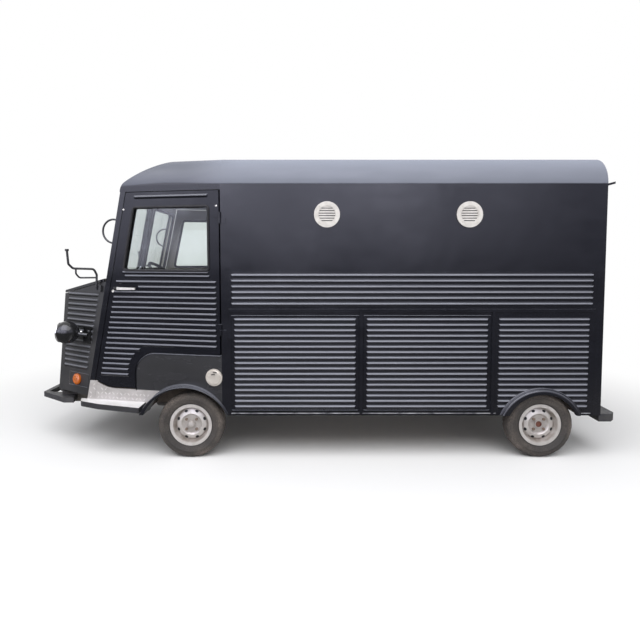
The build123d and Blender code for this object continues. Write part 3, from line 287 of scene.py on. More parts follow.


# Dull silver with grime patches, painted shade and grime streaks in the well, darker towards the middle,
# painted shade in the slots, brown nuts and, at the rear, a rusty hub
def wheel_silver(name, x, rusty):
    graph = Graph(name, Metallic=0.3)
    radius, depth = hub_distance(graph, x), graph.math("ABSOLUTE", graph.axis("Y"))
    patches = graph.span(graph.noise(22.0, 6.0), 0.35, 0.75, 0.0, 0.22)
    # Painted shade, streaked like grime, in the well where the disc meets the rim, and darker towards the
    # middle of the disc
    well = graph.band(radius, 0.112, 0.124, 0.14, 0.152)
    dish = graph.product(graph.span(radius, 0.078, 0.09, 1.0, 0.0), 0.3)
    well_shade_streaks = graph.product(well, graph.span(graph.noise(14.0, 5.0), 0.3, 0.7, 0.35, 0.75))
    grime_and_shade = graph.math("ADD", graph.math("ADD", patches, well_shade_streaks), dish)
    colour = graph.blend(grime_and_shade, (0.56, 0.53, 0.505), (0.15, 0.118, 0.094))
    # Painted shade: near black on the sunk faces inside the slots
    sunk = graph.span(depth, 0.866, 0.871, 1.0, 0.0)
    slot_shade = graph.product(sunk, graph.span(radius, 0.124, 0.127, 1.0, 0.0))
    colour = graph.blend(slot_shade, colour, (0.012, 0.011, 0.01))
    nuts = graph.product(graph.band(radius, 0.043, 0.046, 0.07, 0.073), graph.span(depth, 0.878, 0.881))
    colour = graph.blend(nuts, colour, (0.2, 0.15, 0.115))
    if rusty:
        rust = graph.blend(graph.noise(60.0), (0.17, 0.062, 0.04), (0.08, 0.04, 0.03))
        edge = graph.math("ADD", radius, graph.product(graph.noise(45.0), 0.006))
        colour = graph.blend(graph.span(edge, 0.026, 0.03, 1.0, 0.0), colour, rust)
    graph.set(
        Base_Color=colour,
        Roughness=graph.span(graph.noise(40.0), 0.3, 0.7, 0.36, 0.55),
        Normal=graph.bump(graph.noise(300.0), 0.0002),
    )
    return graph.material


# Dusty tyre rubber, cleaner by the rim and on the fine rings of its wall
RING_PITCH = 0.0105


def rubber(name, x):
    graph = Graph(name, Specular_IOR_Level=0.3)
    radius = hub_distance(graph, x)
    dusty = graph.span(graph.noise(6.0, 6.0), 0.3, 0.75, 0.22, 0.88)
    dusty = graph.product(dusty, graph.span(radius, 0.2, 0.255, 0.68, 1.0))
    specks = graph.span(graph.noise(110.0, 6.0), 0.36, 0.66)
    share = graph.product(dusty, graph.math("ADD", graph.product(specks, 0.65), 0.4))
    rings = graph.span(graph.math("SINE", graph.product(radius, 2 * math.pi / RING_PITCH)), -0.2, 0.9)
    rings = graph.product(rings, graph.band(radius, 0.176, 0.184, 0.226, 0.234))
    clean = graph.math("ADD", graph.span(radius, 0.174, 0.19, 0.62, 0.0), graph.product(rings, 0.5))
    share = graph.product(share, graph.math("SUBTRACT", 1.0, clean))
    graph.set(
        Base_Color=graph.blend(share, (0.028, 0.0265, 0.025), (0.185, 0.156, 0.138)),
        Roughness=graph.span(share, 0.0, 0.6, 0.68, 0.95),
        Normal=graph.bump(graph.noise(500.0), 0.0004, graph.bump(rings, 0.0008)),
    )
    return graph.material


# Frame paint that gives way to rust at the wheel ends
FRAME_PAINT, FRAME_DUST = (0.022, 0.021, 0.02), (0.075, 0.066, 0.056)


def rusty_axle(name):
    graph = Graph(name)
    ends = graph.span(graph.math("ABSOLUTE", graph.axis("Y")), 0.8, 0.84)
    old = graph.blend(graph.span(graph.noise(8.0, 6.0), 0.3, 0.7), FRAME_PAINT, FRAME_DUST)
    rust = graph.blend(graph.noise(70.0, 5.0), (0.2, 0.066, 0.04), (0.11, 0.045, 0.03))
    graph.set(
        Base_Color=graph.blend(ends, old, rust),
        Roughness=graph.span(graph.noise(25.0), 0.3, 0.7, 0.6, 0.9),
        Normal=graph.bump(graph.noise(90.0), 0.0006),
    )
    return graph.material


# Scuffed aluminium, and the step with it on top and a dark edge
def tread_plate(name, light, dull):
    graph = Graph(name, Metallic=0.25)
    scuffs = graph.span(graph.noise(9.0, 8.0, graph.stretched(1.0, 1.0, 2.0)), 0.3, 0.75)
    metal = graph.blend(graph.product(scuffs, 0.8), light, dull)
    graph.set(
        Base_Color=metal,
        Roughness=graph.span(graph.noise(50.0), 0.3, 0.7, 0.36, 0.52),
        Normal=graph.bump(graph.noise(160.0, 3.0), 0.0003),
    )
    return graph, metal


def step_material(name):
    graph, metal = tread_plate(name, (0.8, 0.79, 0.79), (0.68, 0.665, 0.655))
    top = graph.span(graph.axis("Z", graph.object.outputs["Normal"]), 0.4, 0.6)
    edge = graph.blend(graph.noise(40.0, 5.0), (0.018, 0.018, 0.02), (0.034, 0.033, 0.034))
    graph.set(Base_Color=graph.blend(top, edge, metal), Metallic=graph.product(top, 0.25))
    return graph.material


def boards(name):
    graph = Graph(name)
    grain = graph.noise(6.0, 8.0, graph.stretched(0.4, 7.0, 7.0))
    graph.set(
        Base_Color=graph.blend(graph.span(grain, 0.3, 0.7), (0.2, 0.15, 0.105), (0.11, 0.078, 0.05)),
        Roughness=graph.span(graph.noise(18.0), 0.3, 0.7, 0.45, 0.7),
        Normal=graph.bump(grain, 0.001),
    )
    return graph.material


def grained(name, base, cell):
    graph = Graph(name)
    graph.set(
        Base_Color=graph.blend(graph.noise(12.0, 5.0), base, tuple(1.7 * c for c in base)),
        Roughness=graph.span(graph.noise(30.0), 0.3, 0.7, 0.5, 0.7),
        Normal=graph.bump(graph.cells(cell), 0.0008),
    )
    return graph.material


def weave(name):
    graph = Graph(name, Sheen_Weight=0.25)
    threads = []
    for direction in "XYZ":
        wave = graph.node("TexWave", {"bands_direction": direction}, graph.point)
        wave.inputs["Scale"].default_value = 130.0
        wave.inputs["Distortion"].default_value = 1.5
        threads.append(wave.outputs["Fac"])
    cloth = graph.math("ADD", graph.math("ADD", *threads[:2]), threads[2])
    worn = graph.span(graph.noise(8.0, 5.0), 0.3, 0.7)
    graph.set(
        Base_Color=graph.blend(worn, (0.055, 0.056, 0.06), (0.095, 0.094, 0.095)),
        Roughness=graph.span(graph.noise(40.0), 0.3, 0.7, 0.8, 0.95),
        Normal=graph.bump(cloth, 0.0008),
    )
    return graph.material


# Rows of beads: first bead, pitch, lowest and highest Z, rear and front end
LOW_ROW, HIGH_ROW = (0.429, 0.0444, 0.43, 1.16), (1.266, 0.0462, 1.267, 1.52)
BEAD_SETBACK = 0.042
bead_rows = [(*LOW_ROW, rear + BEAD_SETBACK, front - BEAD_SETBACK) for front, rear in BAYS]
bead_rows.append((*HIGH_ROW, -2.25, 0.65))

NAVY = (0.0055, 0.0058, 0.009)
materials = {
    "body": paint("body_paint", NAVY, 0.13, (0.3, 0.85, 0.12), (0.06, 0.84, 0.8)),
    "panel": paint("panel_paint", NAVY, 0.13, (0.3, 0.85, 0.1), (0.06, 0.84, 0.7), rows=bead_rows),
    "door": paint("door_paint", NAVY, 0.13, (0.3, 0.85, 0.1), (0.06, 0.84, 0.58), ior=1.38),
    "roof": paint("roof_paint", (0.008, 0.0084, 0.012), 0.26, (-1.0, 0.0, 0.0), (0.3, 0.98, 0.98),
                  wave=0.0012, top_highlight=roof_painted_highlight, highlight_tint=(0.225, 0.243, 0.295)),
    "nose": paint("nose_paint", (0.014, 0.0142, 0.0155), 0.3, (0.4, 1.7, 0.3), (0.06, 0.84, 0.42)),
    "arch": paint("arch_paint", (0.026, 0.026, 0.0285), 0.2, (0.2, 0.9, 0.06), (0.06, 0.84, 0.9)),
    "flare": paint("flare_paint", (0.007, 0.0074, 0.011), 0.1, (0.3, 0.75, 0.12), (0.25, 0.85, 0.34),
                   lined=False),
    "black": plain("black_enamel", (0.012, 0.012, 0.014), (0.022, 0.022, 0.024), 0.25, 0.42, 22.0, 0.0002),
    "pod": plain("lamp_enamel", (0.008, 0.008, 0.009), (0.013, 0.013, 0.014), 0.08, 0.2, 9.0, 0.00005),
    "worn": plain("worn_strip", (0.05, 0.05, 0.056), (0.36, 0.36, 0.38), 0.3, 0.5, 14.0, 0.0002),
    "bar": plain("bumper_paint", (0.028, 0.028, 0.031), (0.05, 0.048, 0.047), 0.45, 0.65, 12.0, 0.0004),
    "lever": plain("satin_plate", (0.74, 0.72, 0.69), (0.62, 0.6, 0.57), 0.3, 0.42, 20.0, 0.0001,
                   Metallic=0.35),
    "chrome": plain("bright_plate", (0.82, 0.82, 0.83), (0.7, 0.69, 0.68), 0.08, 0.22, 18.0, 0.0001,
                    Metallic=1.0),
    "cap": plain("dull_plate", (0.56, 0.52, 0.47), (0.47, 0.43, 0.385), 0.35, 0.5, 18.0, 0.0001,
                 Metallic=0.2),
    "white": plain("white_moulding", (0.6, 0.575, 0.55), (0.5, 0.475, 0.45), 0.38, 0.55, 25.0, 0.0002),
    "frame": plain("frame_paint", FRAME_PAINT, FRAME_DUST, 0.55, 0.85, 8.0, 0.0006),
    "rusty": rusty_axle("axle_paint"),
    "liner": plain("arch_liner", (0.13, 0.105, 0.088), (0.075, 0.06, 0.05), 0.8, 0.95, 16.0, 0.001),
    "gasket": plain("gasket_rubber", (0.008, 0.008, 0.009), (0.016, 0.0155, 0.0155), 0.5, 0.7, 30.0, 0.0003,
                    Specular_IOR_Level=0.3),
    "glass": glass("clear_pane", (0.78, 0.82, 0.8)),
    "orange": lens("orange_moulding", (0.56, 0.125, 0.004), 40.0),
    "red": lens("red_moulding", (0.42, 0.012, 0.01), 30.0),
    "lamp": lens("fluted_lamp", (0.75, 0.77, 0.78), 24.0, Metallic=0.7),
    "lozenge": plain("lozenge_metal", (0.62, 0.6, 0.585), (0.52, 0.5, 0.485), 0.35, 0.5, 30.0, 0.0002),
    "plate": tread_plate("tread_plate", (0.47, 0.445, 0.43), (0.37, 0.35, 0.335))[0].material,
    "step": step_material("step_plate"),
    "boards": boards("floor_boards"),
    "trim": grained("cab_trim", (0.022, 0.022, 0.024), 500.0),
    "cloth": weave("seat_cloth"),
    "rubber_front": rubber("tyre_front", FRONT_AXLE_X),
    "rubber_rear": rubber("tyre_rear", REAR_AXLE_X),
    "rim_front": wheel_silver("rim_front", FRONT_AXLE_X, False),
    "rim_rear": wheel_silver("rim_rear", REAR_AXLE_X, True),
}

# Finish of each node
finishes = {
    "body": "side_wall_left side_wall_right rear_wall hatch cab_front bonnet hinge_pins",
    "panel": "side_panels rear_door_left rear_door_right",
    "door": "cab_door_left cab_door_right",
    "arch": "arch_panels",
    "roof": "roof",
    "nose": "nose_shell grille",
    "black": "mirror_arms grab_loops",
    "pod": "headlamps",
    "bar": "bumpers",
    "lever": "door_handle_left door_handle_right",
    "cap": "filler_cap",
    "white": "vents",
    "rusty": "rear_axle",
    "frame": "frame_rails cross_members front_axle leaf_springs knuckle_left knuckle_right tie_rod "
    "propshaft engine",
    "liner": "wheel_houses",
    "glass": "windscreen door_glass_left door_glass_right",
    "orange": "indicators",
    "red": "tail_lamps",
    "lamp": "headlamp_lenses",
    "plate": "kick_plates",
    "step": "steps",
    "boards": "load_floor cab_floor",
    "trim": "dashboard steering_wheel",
    "rim_front": "rim_front_left rim_front_right",
    "rim_rear": "rim_rear_left rim_rear_right",
}
for finish, names in finishes.items():
    for name in names.split():
        nodes[name].data.materials.clear()
        nodes[name].data.materials.append(materials[finish])


# Sharp edges of plain plates and bars softened: width, nodes
soft_edges = {
    0.0015: "side_panels",
    0.002: "kick_plates",
    0.003: "arch_panels vents filler_cap grille",
    0.004: "bumpers steps bonnet indicators",
    0.005: "door_handle_left door_handle_right",
    0.01: "tail_lamps",
    0.012: "dashboard",
}
for width, names in soft_edges.items():
    for name in names.split():
        edge = nodes[name].modifiers.new("edge", "BEVEL")
        edge.width = width
        edge.segments = 2
        edge.limit_method = "ANGLE"
        edge.angle_limit = math.radians(50)
        edge.harden_normals = True


# Pieces made here
def piece(name, mesh_data, finish, body):
    vertices, faces = mesh_data
    mesh = bpy.data.meshes.new(name)
    mesh.from_pydata(vertices, [], faces)
    mesh.validate()
    made = bpy.data.objects.new(name, mesh)
    bpy.context.scene.collection.objects.link(made)
    mesh.materials.append(materials[finish])
    work = bmesh.new()
    work.from_mesh(mesh)
    bmesh.ops.recalc_face_normals(work, faces=work.faces)
    work.to_mesh(mesh)
    work.free()
    mesh.shade_smooth()
    mesh.set_sharp_from_angle(angle=math.radians(40))
    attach(made, body)
    return made


def joined(parts):
    vertices, faces = [], []
    for part_vertices, part_faces in parts:
        start = len(vertices)
        vertices += part_vertices
        faces += [[start + i for i in face] for face in part_faces]
    return vertices, faces


def mirrored(part):
    vertices, faces = part
    return [Vector((v[0], -v[1], v[2])) for v in vertices], [list(reversed(face)) for face in faces]


# Faces of a skin over equal rings of points: run on to the first ring again, or capped at both ends
def skin(rings, count, closed=False, turn=0):
    faces = []
    for r in range(rings if closed else rings - 1):
        low, high = r * count, (r + 1) % rings * count
        shift = turn if r == rings - 1 else 0
        for k in range(count):
            a, b = k, (k + 1) % count
            faces.append([low + a, low + b, high + (b + shift) % count, high + (a + shift) % count])
    if not closed:
        last = (rings - 1) * count
        faces += [list(range(count))[::-1], list(range(last, last + count))]
    return faces


# Points on a circle across a way, by the two directions that span it
def circle(middle, across, other, radius, count):
    turns = [2 * math.pi * k / count for k in range(count)]
    return [middle + (across * math.cos(turn) + other * math.sin(turn)) * radius for turn in turns]


# A tube along a closed or open run of points
def tube(points, radius, closed=False, sides=8):
    count = len(points)
    vertices = []
    for i, point in enumerate(points):
        before = points[i - 1] if closed or i else point
        after = points[(i + 1) % count] if closed or i < count - 1 else point
        along = (after - before).normalized()
        if i == 0:
            across = along.orthogonal().normalized()
        else:
            across = (across - along * across.dot(along)).normalized()
        other = along.cross(across)
        vertices += circle(point, across, other, radius, sides)
    turn = 0
    if closed:
        last = vertices[(count - 1) * sides]
        turn = min(range(sides), key=lambda k: (last - vertices[k]).length)
    return vertices, skin(count, sides, closed, turn)


# Corners of a flat outline rounded off, in the plane of its own points
def rounded(corners, radius, steps=6):
    points = []
    for i, corner in enumerate(corners):
        before = (corners[i - 1] - corner).normalized()
        after = (corners[(i + 1) % len(corners)] - corner).normalized()
        half = math.acos(before.dot(after)) / 2
        middle = corner + (before + after).normalized() * (radius / math.sin(half))
        start, end = corner + before * (radius / math.tan(half)), corner + after * (radius / math.tan(half))
        sweep = (start - middle).angle(end - middle)
        normal = (start - middle).cross(end - middle).normalized()
        for k in range(steps + 1):
            points.append(middle + Matrix.Rotation(sweep * k / steps, 3, normal) @ (start - middle))
    return points


def on_cab(x, z, out):
    return Vector((x + out * math.sin(CAB_TAPER), cab_y(x) + out * math.cos(CAB_TAPER), z))


def on_screen(y, z, out):
    return Vector((screen_x(z) + out * math.cos(SCREEN_RAKE), y, z + out * math.sin(SCREEN_RAKE)))


# Tyres with ribbed tread and rounded walls: columns are radius and distance out
TYRE_WALL = (
    (0.1525, 0.051), (0.166, 0.0545), (0.176, 0.0575), (0.186, 0.066), (0.2, 0.0735), (0.214, 0.0765),
    (0.2165, 0.0785), (0.2195, 0.0765), (0.236, 0.0755), (0.25, 0.0705), (0.2595, 0.063), (0.2655, 0.054),
)
TYRE_TREAD = (
    (0.268, 0.047), (0.268, 0.0345), (0.262, 0.0325), (0.262, 0.0285), (0.2695, 0.0265), (0.27, 0.0155),
    (0.2635, 0.0135), (0.2635, 0.0095), (0.27, 0.0075),
)
TYRE_STEPS, BLOCK_STEPS, BLOCK_LEAN, GROOVE = 180, 6, 4.0, 0.005
TREAD_RADIUS, TREAD_HALF, RIB_HALF = 0.2665, 0.047, 0.012
SHOULDER_RADIUS, SHOULDER_OUT = 0.2575, 0.05


def tyre_mesh(x, y):
    half = [*TYRE_WALL, *TYRE_TREAD]
    profile = half + [(radius, -out) for radius, out in reversed(half)]
    vertices = []
    for i in range(TYRE_STEPS):
        turn = 2 * math.pi * i / TYRE_STEPS
        for radius, out in profile:
            slant = round(i + BLOCK_LEAN * out / TREAD_HALF) % BLOCK_STEPS
            tread = radius > TREAD_RADIUS and abs(out) > RIB_HALF
            shoulder = SHOULDER_RADIUS < radius <= TREAD_RADIUS and abs(out) > SHOULDER_OUT
            if (tread and slant == 0) or (shoulder and i % BLOCK_STEPS >= BLOCK_STEPS - 2):
                radius -= GROOVE
            vertices.append(Vector((x + radius * math.sin(turn), y + out, HUB_Z + radius * math.cos(turn))))
    return vertices, skin(TYRE_STEPS, len(profile), True)


for end, side, x, y in WHEELS:
    tyre = piece(f"tread_{end}_{side}", tyre_mesh(x, y), f"rubber_{end}", f"wheel_{end}_{side}")
    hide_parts(f"tyre_{end}_{side}")


# Seats
SEAT_Y = 0.39
PAD_CUTS, PAD_POWER = 15, 7
PAD_VOXEL, PAD_PRESSURE, PAD_FRAMES, PAD_CAP = 0.01, 4.0, 20, 0.024
CHANNEL_Y, CHANNEL_WIDTH, CHANNEL_DEPTH = 0.075, 0.01, 0.018
PIPING_RADIUS, PIPING_POINTS, PIPING_POWER, PIPING_LEVEL = 0.0045, 96, 0.3, 0.8


# A rounded block, placed by a function of its own -1 to 1 coordinates
def pad_mesh(place):
    work = bmesh.new()
    bmesh.ops.create_cube(work, size=2.0)
    bmesh.ops.subdivide_edges(work, edges=work.edges[:], cuts=PAD_CUTS, use_grid_fill=True)
    for vertex in work.verts:
        size = sum(abs(c) ** PAD_POWER for c in vertex.co) ** (1 / PAD_POWER)
        vertex.co = place(*(vertex.co / size))
    mesh = bpy.data.meshes.new("pad")
    work.to_mesh(mesh)
    work.free()
    return mesh


def evaluated(source):
    return bpy.data.meshes.new_from_object(source.evaluated_get(bpy.context.evaluated_depsgraph_get()))


# The pad swells under cloth pressure; held points stay, and no point moves further than the cap
def swollen(mesh, held):
    scene = bpy.context.scene
    pad = bpy.data.objects.new("pad", mesh)
    scene.collection.objects.link(pad)
    remesh = pad.modifiers.new("even", "REMESH")
    remesh.mode, remesh.voxel_size = "VOXEL", PAD_VOXEL
    even = evaluated(pad)
    pad.modifiers.clear()
    pad.data = even
    start = [vertex.co.copy() for vertex in even.vertices]
    group = pad.vertex_groups.new(name="held")
    group.add([vertex.index for vertex in even.vertices if held(vertex.co)], 1.0, "REPLACE")
    cloth = pad.modifiers.new("cloth", "CLOTH").settings
    cloth.use_pressure, cloth.uniform_pressure_force = True, PAD_PRESSURE
    cloth.effector_weights.gravity = 0.0
    cloth.vertex_group_mass = "held"
    for step in range(1, PAD_FRAMES + 1):
        scene.frame_set(step)
    even = evaluated(pad)
    scene.frame_set(1)
    bpy.data.objects.remove(pad)
    for vertex, first in zip(even.vertices, start):
        move = vertex.co - first
        vertex.co = first + move * min(1.0, PAD_CAP / max(move.length, 1e-9))
    return even


# Sewn channels pressed into the face that looks along the given way
def channelled(mesh, way):
    for vertex in mesh.vertices:
        facing = max(0.0, vertex.normal.dot(way) - 0.3)
        near = math.exp(-(((abs(vertex.co.y - SEAT_Y) - CHANNEL_Y) / CHANNEL_WIDTH) ** 2))
        vertex.co -= vertex.normal * min(facing, 0.5) * CHANNEL_DEPTH * near
    return mesh


# Piping laid on the swollen pad along a rounded ring of its own coordinates
def rounded_power(value):
    return math.copysign(abs(value) ** PIPING_POWER, value)


def piping(mesh, place, level):
    turns = [2 * math.pi * k / PIPING_POINTS for k in range(PIPING_POINTS)]
    ring = [place(rounded_power(math.cos(t)), rounded_power(math.sin(t)), level) for t in turns]
    pad = bpy.data.objects.new("pad", mesh)
    bpy.context.scene.collection.objects.link(pad)
    bpy.context.view_layer.update()
    points = [pad.closest_point_on_mesh(point)[1] for point in ring]
    bpy.data.objects.remove(pad)
    return tube(points, PIPING_RADIUS, True, 6)


def cushion_place(u, v, w):
    return Vector((1.1 + 0.235 * u, SEAT_Y + 0.212 * v, 0.908 + 0.01 * u + 0.05 * w))


def back_place(u, v, w):
    return Vector((0.87 - 0.03 * u + 0.04 * w, SEAT_Y + 0.212 * v, 1.262 + 0.265 * u + 0.004 * w))


# Plinth under each cushion: columns are Z and the set-in of its walls
PLINTH_ROWS = ((0.643, 0.004), (0.66, 0.0), (0.8, 0.0), (0.822, 0.014), (0.872, 0.014))


def plinth_mesh():
    rings = []
    for z, inset in PLINTH_ROWS:
        x0, x1, half = 0.858 + inset, 1.31 - inset, 0.228 - inset
        corners = [Vector((x, SEAT_Y + y, z)) for x, y in ((x0, -half), (x1, -half), (x1, half), (x0, half))]
        rings.append(rounded(corners, 0.03))
    return [point for ring in rings for point in ring], skin(len(rings), len(rings[0]))


def data_of(mesh):
    return [vertex.co.copy() for vertex in mesh.vertices], [list(face.vertices) for face in mesh.polygons]


def make_seats():
    cushion_foot, back_foot = 0.872, 1.02
    seams = []
    # Columns are name, place, the way the channels face and the points that are held
    for name, place, way, held in (
        ("seat_cushions", cushion_place, Vector((0, 0, 1)), lambda co: co.z < cushion_foot),
        ("seat_backs", back_place, Vector((1, 0, 0)), lambda co: co.z < back_foot),
    ):
        mesh = channelled(swollen(pad_mesh(place), held), way)
        seams += [piping(mesh, place, level) for level in (PIPING_LEVEL, -PIPING_LEVEL)]
        pad = data_of(mesh)
        pads = piece(name, joined([pad, mirrored(pad)]), "cloth", "body")
        pads.modifiers.new("smooth", "SUBSURF").levels = 1
        pads.modifiers["smooth"].render_levels = 1
        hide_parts("seats")
    piped = joined(seams)
    piece("seat_piping", joined([piped, mirrored(piped)]), "trim", "body")
    plinth = plinth_mesh()
    piece("seat_plinths", joined([plinth, mirrored(plinth)]), "trim", "body")


make_seats()


# Painted shade of the slots round each wheel disc: dark ovals laid on its face, which slopes by the radius
SLOT_COUNT, SLOT_SIDES, SLOT_DEPTH = 8, 20, 0.003
SLOT_CIRCLE, SLOT_HALF_WIDTH, SLOT_HALF_LENGTH = 0.1155, 0.0105, 0.0145
DISC_RADIUS, DISC_OUT, DISC_SLOPE = 0.128, 0.0245, 0.35


def slot_shade_mesh(x, y, turn):
    across, along = Vector((math.cos(turn), 0, math.sin(turn))), Vector((-math.sin(turn), 0, math.cos(turn)))
    vertices = []
    for sink in (0.0, SLOT_DEPTH):
        for k in range(SLOT_SIDES):
            angle = 2 * math.pi * k / SLOT_SIDES
            reach = SLOT_CIRCLE + SLOT_HALF_WIDTH * math.cos(angle)
            side = SLOT_HALF_LENGTH * math.sin(angle)
            out = DISC_OUT + (DISC_RADIUS - math.hypot(reach, side)) * DISC_SLOPE - sink
            vertices.append(Vector((x, y + math.copysign(out, y), HUB_Z)) + across * reach + along * side)
    return vertices, skin(2, SLOT_SIDES)


# Dark ovals of painted shade over each wheel's slots
for end, side, x, y in WHEELS:
    slot_shade = [slot_shade_mesh(x, y, 2 * math.pi * (i + 0.5) / SLOT_COUNT) for i in range(SLOT_COUNT)]
    piece(f"wheel_slot_shade_{end}_{side}", joined(slot_shade), "gasket", f"wheel_{end}_{side}")


# Rubber round the door windows and the two screen panes, on the outer and the inner face
RUBBER_RADIUS = 0.011
PANE_GAP_HALF, PANE_MARGIN = 0.028, 0.075


def window_ring(out):
    rear, low, high, inset = PILLAR_X + 0.1, 1.538, 2.055, 0.14
    corners = [on_cab(rear, low, out), on_cab(screen_x(low, inset), low, out),
               on_cab(screen_x(high, inset), high, out), on_cab(rear, high, out)]
    return rounded(corners, 0.025)


def pane_ring(out):
    low, high = 1.525, 2.125
    wide_low, wide_high = (cab_y(screen_x(z)) - PANE_MARGIN for z in (low, high))
    corners = [on_screen(PANE_GAP_HALF, low, out), on_screen(wide_low, low, out),
               on_screen(wide_high, high, out), on_screen(PANE_GAP_HALF, high, out)]
    return rounded(corners, 0.045)


door_rubber = joined([tube(window_ring(out), RUBBER_RADIUS, True) for out in (0.001, -0.037)])
piece("window_rubber_left", door_rubber, "gasket", "cab_door_left")
piece("window_rubber_right", mirrored(door_rubber), "gasket", "cab_door_right")
pane_rubber = joined([tube(pane_ring(out), RUBBER_RADIUS, True) for out in (0.001, -0.046)])
piece("screen_rubber", joined([pane_rubber, mirrored(pane_rubber)]), "gasket", "body")


# Wheel flares with rolled lips: each row is an arc's centre, radius and distance out, cut level at its foot
def arc_row(centre_x, centre_z, radius, foot_z, out, steps=72):
    low = math.asin((foot_z - centre_z) / radius)
    turns = [low + (math.pi - 2 * low) * k / steps for k in range(steps + 1)]
    points = [(centre_x + radius * math.cos(turn), centre_z + radius * math.sin(turn)) for turn in turns]
    return [Vector((x, out(x), z)) for x, z in points]


def flare_mesh(rows):
    stations = len(rows[0])
    return [row[k] for k in range(stations) for row in rows], skin(stations, len(rows))


def level_at(y):
    return lambda x: y


def cab_side(out):
    return lambda x: min(cab_y(x), BODY_Y) + out


# Columns of a section are the drop below the outer arc and the distance out
def rear_flare():
    x, z, radius, foot = REAR_AXLE_X + 0.013, HUB_Z - 0.043, 0.363, 0.366
    section = ((0.0, 0.939), (0.0, 0.945), (0.0015, 0.951), (0.006, 0.955), (0.011, 0.9555), (0.014, 0.957),
               (0.0155, 0.961), (0.0175, 0.9675), (0.022, 0.9725), (0.03, 0.975), (0.038, 0.9742))
    rows = [arc_row(x, z, radius - drop, foot, level_at(y)) for drop, y in section]
    inner_z, inner = HUB_Z - 0.034, ((0.302, 0.9715), (0.3, 0.966), (0.3, 0.939))
    return flare_mesh(rows + [arc_row(REAR_AXLE_X, inner_z, r, foot, level_at(y)) for r, y in inner])


def front_flare():
    x, z, radius, foot = FRONT_AXLE_X + 0.047, HUB_Z - 0.069, 0.403, 0.372
    walls = ((0.0, -0.004), (0.0, 0.006), (0.0015, 0.0105), (0.005, 0.013), (0.0065, 0.018))
    rows = [arc_row(x, z, radius - drop, foot, cab_side(out)) for drop, out in walls]
    lips = ((0.0055, 0.958), (0.0045, 0.964), (0.006, 0.971), (0.009, 0.975))
    rows += [arc_row(x, z, radius - drop, foot, level_at(y)) for drop, y in lips]
    inner_x, inner_z, inner_radius = FRONT_AXLE_X + 0.032, HUB_Z - 0.048, 0.37
    inner = ((inner_radius + 0.0008, 0.9735), (inner_radius, 0.97), (inner_radius, 0.95))
    rows += [arc_row(inner_x, inner_z, r, foot, level_at(y)) for r, y in inner]
    return flare_mesh(rows + [arc_row(inner_x, inner_z, inner_radius, foot, cab_side(-0.004))])


both = joined([rear_flare(), front_flare()])
flares = piece("rolled_flares", joined([both, mirrored(both)]), "flare", "body")
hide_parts("wheel_flares")


# A turned button on a surface: columns of the profile are radius and height above it
def button(at, normal, profile, sides=20):
    across = normal.orthogonal().normalized()
    other = normal.cross(across)
    rings = [circle(at + normal * height, across, other, radius, sides) for radius, height in profile]
    return [point for ring in rings for point in ring], skin(len(rings), sides)


def domed(radius, height):
    return [(radius, -0.001), (radius, 0.4 * height), (0.85 * radius, 0.8 * height), (0.5 * radius, height)]


side_normal, up = Vector((0.0, 1.0, 0.0)), Vector((0.0, 0.0, 1.0))
cab_normal = Vector((math.sin(CAB_TAPER), math.cos(CAB_TAPER), 0.0))
cab_back = Vector((-math.cos(CAB_TAPER), math.sin(CAB_TAPER), 0.0))

# Studs and lock of each cab door, and the sleeve on its handle
stud = domed(0.008, 0.007)
lock = [(0.011, -0.001), (0.011, 0.006), (0.009, 0.008), (0.004, 0.0065)]
stud_rows = ((1.565, 2.039, stud), (0.766, 2.055, stud), (1.676, 1.362, lock))
studs = joined([button(on_cab(x, z, 0.0), cab_normal, profile) for x, z, profile in stud_rows])
handle_z, handle_out = 1.386, 0.03
sleeve = tube([on_cab(x, handle_z, handle_out) for x in (1.651, 1.625)], 0.0135, sides=12)
for side, turn in (("left", lambda part: part), ("right", mirrored)):
    piece(f"door_studs_{side}", turn(studs), "lever", f"cab_door_{side}")
    piece(f"handle_sleeve_{side}", turn(sleeve), "gasket", f"cab_door_{side}")

# Four screws on the face of each vent
vent_face, vent_z, screw_circle = 0.954, 1.986, 0.087
screws = []
for vent_x in (-0.115, -1.249):
    for angle in (0.79, 2.36, 3.93, 5.5):
        x, z = vent_x + screw_circle * math.cos(angle), vent_z + screw_circle * math.sin(angle)
        screws.append(button(Vector((x, vent_face, z)), side_normal, domed(0.005, 0.002)))
piece("vent_screws", joined(screws), "cap", "body")

# Bright ring round each headlamp glass and a bolt on its arm
lamp_face = Vector((2.166, 0.6853, 1.003))
ring = circle(lamp_face, side_normal, up, 0.0785, 48)
bolt = button(Vector((1.988, 0.676, 1.002)), Vector((0.17, 0.4, 0.9)).normalized(), domed(0.013, 0.016))
lamp_trim = joined([tube(ring, 0.0065, True, 10), bolt])
piece("lamp_trim", joined([lamp_trim, mirrored(lamp_trim)]), "chrome", "body")

# Thin borders pressed round the front two bays; the rear bay has none, since the flare crosses it
border_y, border_low, border_high, border_inset = 0.9432, 0.404, 1.178, 0.02
borders = []
for front, rear in BAYS[:2]:
    x0, x1 = front - border_inset, rear + border_inset
    corners = ((x0, border_low), (x1, border_low), (x1, border_high), (x0, border_high))
    outline = rounded([Vector((x, border_y, z)) for x, z in corners], 0.008, 3)
    borders.append(tube(outline, 0.0028, True, 6))
borders = joined(borders)
piece("panel_borders", joined([borders, mirrored(borders)]), "panel", "body")

# Worn strip along the sill, ahead of and behind the rear wheel
sill_y, sill_z = 0.9435, 0.379
sill_ends = ((0.66, -1.49), (-2.16, -2.26))
sills = joined([tube([Vector((x, sill_y, sill_z)) for x in ends], 0.0035) for ends in sill_ends])
piece("sill_strips", joined([sills, mirrored(sills)]), "worn", "body")

